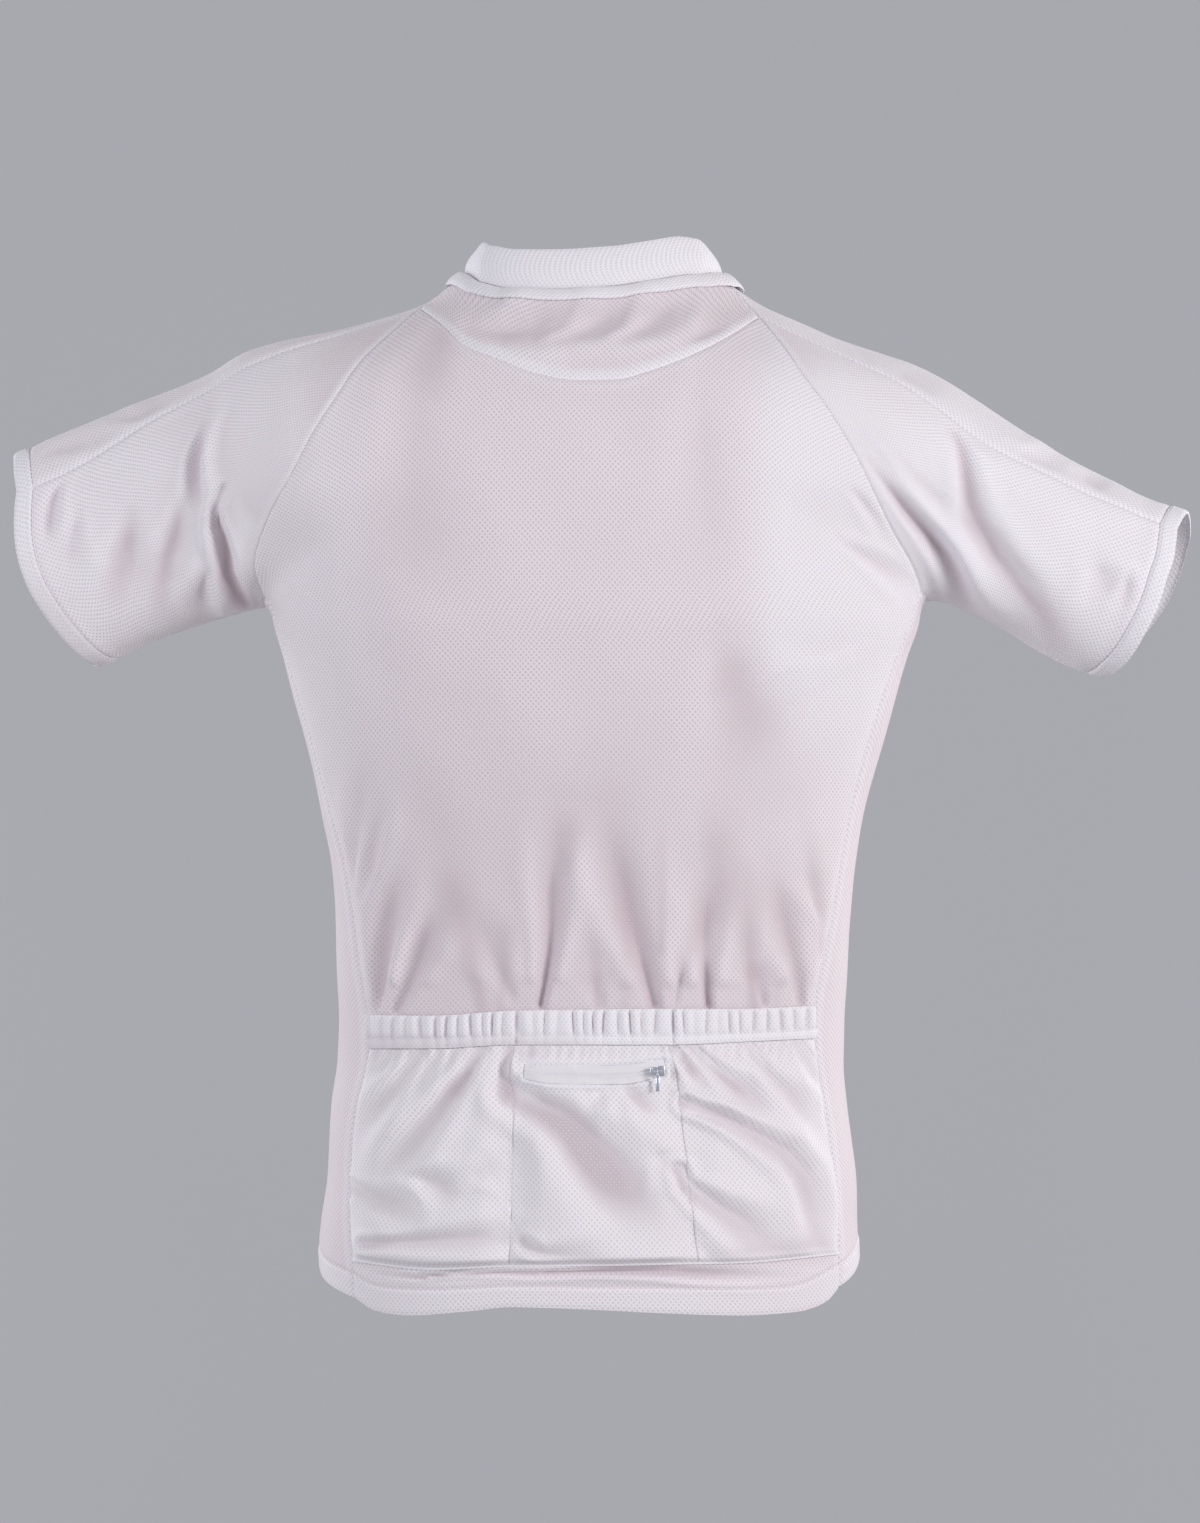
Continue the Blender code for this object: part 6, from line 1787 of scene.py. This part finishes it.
# place, what it points at, width, power and colour of each lamp
LAMPS = {
    "right": ((2.5, -1.75, 0.1), (0.05, 0, -0.35), 1.1, 56.0, (1.0, 0.985, 0.98)),
    "left": ((-2.5, -1.85, 0.1), (-0.05, 0, -0.35), 1.6, 38.0, (0.94, 0.96, 1.0)),
    "far_right": ((2.3, 2.1, 0.3), (0, 0, -0.35), 1.6, 30.0, (1.0, 1.0, 1.0)),
    "far_left": ((-2.3, 2.1, 0.3), (0, 0, -0.35), 1.6, 30.0, (1.0, 1.0, 1.0)),
}
WORLD = ((0.97, 0.97, 1.0, 1), 0.42)  # its colour and strength


def grown(body, edges):
    """New edges drawn out of the old ones, still in the same place."""
    made = bmesh.ops.extrude_edge_only(body, edges=edges)["geom"]
    return [item for item in made if isinstance(item, bmesh.types.BMEdge)]


def add_paper():
    """A round floor that curves up to a backdrop on every side."""
    deselect()
    bpy.ops.mesh.primitive_circle_add(
        vertices=96, radius=FLOOR_RADIUS, fill_type="NGON", location=(0, 0, FLOOR)
    )
    paper = bpy.context.object
    paper.name = "studio_paper"
    bpy.ops.object.mode_set(mode="EDIT")
    bpy.ops.mesh.select_all(action="SELECT")
    bpy.ops.mesh.inset(thickness=2.0)
    bpy.ops.object.mode_set(mode="OBJECT")
    mesh = paper.data
    body = bmesh.new()
    body.from_mesh(mesh)
    rim = [edge for edge in body.edges if edge.is_boundary]
    for step in range(1, SWEEP_STEPS + 1):
        turn = step / SWEEP_STEPS * math.pi / 2
        rim = grown(body, rim)
        for vert in {vert for edge in rim for vert in edge.verts}:
            flat = Vector((vert.co.x, vert.co.y, 0)).normalized()
            vert.co = flat * (FLOOR_RADIUS + SWEEP[0] * math.sin(turn))
            vert.co.z = SWEEP[1] * (1 - math.cos(turn))
    for vert in {vert for edge in grown(body, rim) for vert in edge.verts}:
        vert.co.z = BACKDROP
    bmesh.ops.translate(body, vec=(0, 0, FLOOR), verts=body.verts[:])
    bmesh.ops.recalc_face_normals(body, faces=body.faces[:])
    bmesh.ops.reverse_faces(body, faces=body.faces[:])
    body.to_mesh(mesh)
    body.free()
    paper.location = (0, 0, 0)
    mesh.shade_smooth()
    mesh.materials.append(finish("Studio paper", paper_look))
    paper.visible_diffuse = False
    paper.visible_shadow = False


def add_lamp(name, place, aim, size, power, tint):
    light = bpy.data.lights.new(name, "AREA")
    light.shape = "DISK"
    light.size = size
    light.energy = power
    light.color = tint
    lamp = bpy.data.objects.new(name, light)
    lamp.location = place
    way = Vector(aim) - Vector(place)
    lamp.rotation_euler = way.to_track_quat("-Z", "Y").to_euler()
    bpy.context.scene.collection.objects.link(lamp)


def add_camera():
    scene = bpy.context.scene
    camera = bpy.data.objects.new("camera", bpy.data.cameras.new("camera"))
    camera.data.sensor_fit = "HORIZONTAL"
    camera.data.sensor_width = 36.0
    camera.data.lens = CAMERA_LENS
    camera.data.shift_y = CAMERA_SHIFT
    camera.data.clip_end = 50
    camera.location = CAMERA_PLACE
    camera.rotation_euler = (math.pi / 2, 0, 0)
    scene.collection.objects.link(camera)
    scene.camera = camera


# ---- what a user would change


class JerseySizes(bpy.types.PropertyGroup):
    hole_across: bpy.props.FloatProperty(
        name="Holes across", description="Distance between two holes of the knit in one course",
        default=0.0034, min=0.001, max=0.01, unit="LENGTH",
    )
    hole_down: bpy.props.FloatProperty(
        name="Holes down", description="Distance between two holes of the knit in one wale",
        default=0.0037, min=0.001, max=0.01, unit="LENGTH",
    )
    seam_dip: bpy.props.FloatProperty(
        name="Seam dip", description="How far the cloth dips into a sewn seam",
        default=0.0008, min=0.0, max=0.002, unit="LENGTH",
    )
    allowance: bpy.props.FloatProperty(
        name="Seam allowance", description="Width of the cloth turned in behind a seam",
        default=0.0075, min=0.003, max=0.015, unit="LENGTH",
    )
    stitch: bpy.props.FloatProperty(
        name="Stitch", description="Length of one stitch that shows",
        default=0.0021, min=0.001, max=0.005, unit="LENGTH",
    )
    stitch_gap: bpy.props.FloatProperty(
        name="Stitch gap", description="Gap between two stitches",
        default=0.0008, min=0.0, max=0.005, unit="LENGTH",
    )
    thread: bpy.props.FloatProperty(
        name="Thread", description="Thickness of the thread",
        default=0.0005, min=0.0002, max=0.002, unit="LENGTH",
    )


class JerseyColours(bpy.types.PropertyGroup):
    knit: bpy.props.FloatVectorProperty(
        name="Knit", description="Single layer of mesh knit",
        subtype="COLOR", size=3, min=0, max=1, default=(0.785, 0.715, 0.757),
    )
    pocket: bpy.props.FloatVectorProperty(
        name="Pockets", description="Knit of the pockets, with the back behind it",
        subtype="COLOR", size=3, min=0, max=1, default=(0.825, 0.79, 0.83),
    )
    trim: bpy.props.FloatVectorProperty(
        name="Trim", description="Collar, tape and cuffs",
        subtype="COLOR", size=3, min=0, max=1, default=(0.82, 0.80, 0.84),
    )
    # Also the colour of the painted highlights on crease banks, shoulders, sleeves and strips
    doubled: bpy.props.FloatVectorProperty(
        name="Doubled knit", description="Where the cloth is folded or sewn and shows whiter",
        subtype="COLOR", size=3, min=0, max=1, default=(0.85, 0.83, 0.88),
    )
    tape: bpy.props.FloatVectorProperty(
        name="Zip tape", description="Woven zip tape",
        subtype="COLOR", size=3, min=0, max=1, default=(0.81, 0.785, 0.82),
    )
    thread: bpy.props.FloatVectorProperty(
        name="Thread", description="Sewing thread",
        subtype="COLOR", size=3, min=0, max=1, default=(0.87, 0.86, 0.89),
    )
    metal: bpy.props.FloatVectorProperty(
        name="Zip metal", description="Plated metal of the sliders and pulls",
        subtype="COLOR", size=3, min=0, max=1, default=(0.86, 0.885, 0.97),
    )
    paper: bpy.props.FloatVectorProperty(
        name="Paper", description="Plain floor and backdrop",
        subtype="COLOR", size=3, min=0, max=1, default=(0.775, 0.785, 0.815),
    )


# ---- operators


class JERSEY_OT_body(bpy.types.Operator):
    """Back, yoke, side panels and fronts"""

    bl_idname = "jersey.body"
    bl_label = "Body panels"

    def execute(self, context):
        SKINS["neckline"], yoke, back = back_grids()
        panel_piece(
            "back_panel", back, {"top": 0.25, "left": 0.5, "right": 0.5}, "back", hem_row=HEM_ROW,
            weave=lambda grid: knit_map(grid, row=BAND_ROW + 2),
        )
        around = {"bottom": 1.0, "left": 0.3, "right": 0.3}
        panel_piece("back_yoke", yoke, around, "yoke", uneven=0.4)
        for side in SIDES:
            panel_piece(
                f"side_panel_{side}", side_grid(side), {"top": 0.6, "left": 0.6, "right": 0.6}, "back",
                hem_row=SEAMS[side][1]["stitch_row"],
                weave=lambda grid: knit_map(grid, down=(0, 2)),
            )
            front, row = front_grid(side)
            around = {"top": 0.0, "left": 0.4, "right": 0.6}
            panel_piece(f"front_{side}", front, around, "front", hem_row=row)
        return {"FINISHED"}


class JERSEY_OT_sleeves(bpy.types.Operator):
    """Sleeves, shoulder strips and cuffs"""

    bl_idname = "jersey.sleeves"
    bl_label = "Sleeves"

    def execute(self, context):
        rows = []
        for side in SIDES:
            back, front, strip = sleeve_grids(side)
            sewn = {"top": 0.5, "bottom": 0.5, "left": 0.8, "right": 0.5}
            for name, grid, kind in (("back", back, "sleeve"), ("front", front, "sleeve_front")):
                panel_piece(
                    f"sleeve_{name}_{side}", grid, sewn, kind, weave=sleeve_map
                )
            sewn = {"top": 0.9, "bottom": 0.9, "left": 0.4, "right": 0.4}
            panel_piece(
                f"shoulder_strip_{side}", strip, sewn, "strip", weave=strip_map,
            )
            rows.append(make_cuff(side))
        stitch_row("cuff_stitches", rows)
        return {"FINISHED"}


class JERSEY_OT_neck(bpy.types.Operator):
    """Stand collar and the rolled tape over its seam"""

    bl_idname = "jersey.neck"
    bl_label = "Collar and tape"

    def execute(self, context):
        ring = neck_ring(SKINS["neckline"], {side: all_seams()[side][0] for side in SIDES})
        fronts, strips = (
            {side: plain(SKINS[f"{name}_{side}"]) for side in SIDES}
            for name in ("front", "shoulder_strip")
        )
        columns = neck_columns(fronts, strips, plain(SKINS["back_yoke"]))
        SKINS["collar"] = make_collar(ring)
        make_tape(ring, columns)
        return {"FINISHED"}


class JERSEY_OT_pockets(bpy.types.Operator):
    """Pocket panel, its gathered band and the stitching that divides it"""

    bl_idname = "jersey.pockets"
    bl_label = "Pockets"

    def execute(self, context):
        skin, normal, dividers = make_pocket_panel()
        band, band_normal = make_band()
        rows = [(skin[2:-6, column], normal[2:-6, column]) for column in (*dividers, 2, -3)]
        rows += [(band[row, 3:-3], band_normal[row, 3:-3]) for row in (10, 16)]
        stitch_row("pocket_stitches", rows)
        return {"FINISHED"}


class JERSEY_OT_stitching(bpy.types.Operator):
    """A row of stitches round the turned-up hem"""

    bl_idname = "jersey.stitching"
    bl_label = "Hem stitching"

    def execute(self, context):
        rows = []
        for name in ("back_panel", "side_panel_left", "side_panel_right", "front_left", "front_right"):
            skin = SKINS[name]
            line = skin[HEM_ROW + 2 if name == "back_panel" else -3 - N_HEM * FINE]
            rows.append((line[2:-2], outward(line)[2:-2]))
        stitch_row("hem_stitches", rows)
        return {"FINISHED"}


class JERSEY_OT_zips(bpy.types.Operator):
    """Both zips with their sliders and pulls"""

    bl_idname = "jersey.zips"
    bl_label = "Zips"

    def execute(self, context):
        make_pocket_zip()
        make_front_zip(SKINS["collar"])
        make_slider("pocket_slider", "pocket_zip_slider", "X")
        make_slider("front_slider", "front_zip_slider", "Z")
        make_pull("pocket_pull_tab", "pocket_zip_pull")
        make_pull("front_pull_tab", "front_zip_pull")
        return {"FINISHED"}


class JERSEY_OT_stage(bpy.types.Operator):
    """Floor and backdrop in one sweep, soft lights and the camera"""

    bl_idname = "jersey.stage"
    bl_label = "Stage"

    def execute(self, context):
        add_paper()
        for name, values in LAMPS.items():
            add_lamp(name, *values)
        world = bpy.data.worlds.new("studio")
        world.use_nodes = True
        background = world.node_tree.nodes["Background"].inputs
        background["Color"].default_value, background["Strength"].default_value = WORLD
        context.scene.world = world
        context.scene.view_settings.view_transform = "Standard"
        add_camera()
        return {"FINISHED"}


class JERSEY_PT_panel(bpy.types.Panel):
    """Sizes, colours and the steps that build the jersey"""

    bl_idname = "JERSEY_PT_panel"
    bl_label = "Cycling jersey"
    bl_space_type = "VIEW_3D"
    bl_region_type = "UI"
    bl_category = "Jersey"

    def draw(self, context):
        for group in (context.scene.jersey_sizes, context.scene.jersey_colours):
            for name in group.__annotations__:
                self.layout.prop(group, name)
        for step in STEPS:
            self.layout.operator(step.bl_idname)


STEPS = (
    JERSEY_OT_body,
    JERSEY_OT_sleeves,
    JERSEY_OT_neck,
    JERSEY_OT_pockets,
    JERSEY_OT_stitching,
    JERSEY_OT_zips,
    JERSEY_OT_stage,
)
CLASSES = (JerseySizes, JerseyColours, *STEPS, JERSEY_PT_panel)


def register():
    for kind in CLASSES:
        bpy.utils.register_class(kind)
    bpy.types.Scene.jersey_sizes = bpy.props.PointerProperty(type=JerseySizes)
    bpy.types.Scene.jersey_colours = bpy.props.PointerProperty(type=JerseyColours)


def unregister():
    del bpy.types.Scene.jersey_colours
    del bpy.types.Scene.jersey_sizes
    for kind in reversed(CLASSES):
        bpy.utils.unregister_class(kind)


def main():
    register()
    bpy.ops.jersey.body()
    bpy.ops.jersey.sleeves()
    bpy.ops.jersey.neck()
    bpy.ops.jersey.pockets()
    bpy.ops.jersey.stitching()
    bpy.ops.jersey.zips()
    bpy.ops.jersey.stage()


if __name__ == "__main__":
    main()
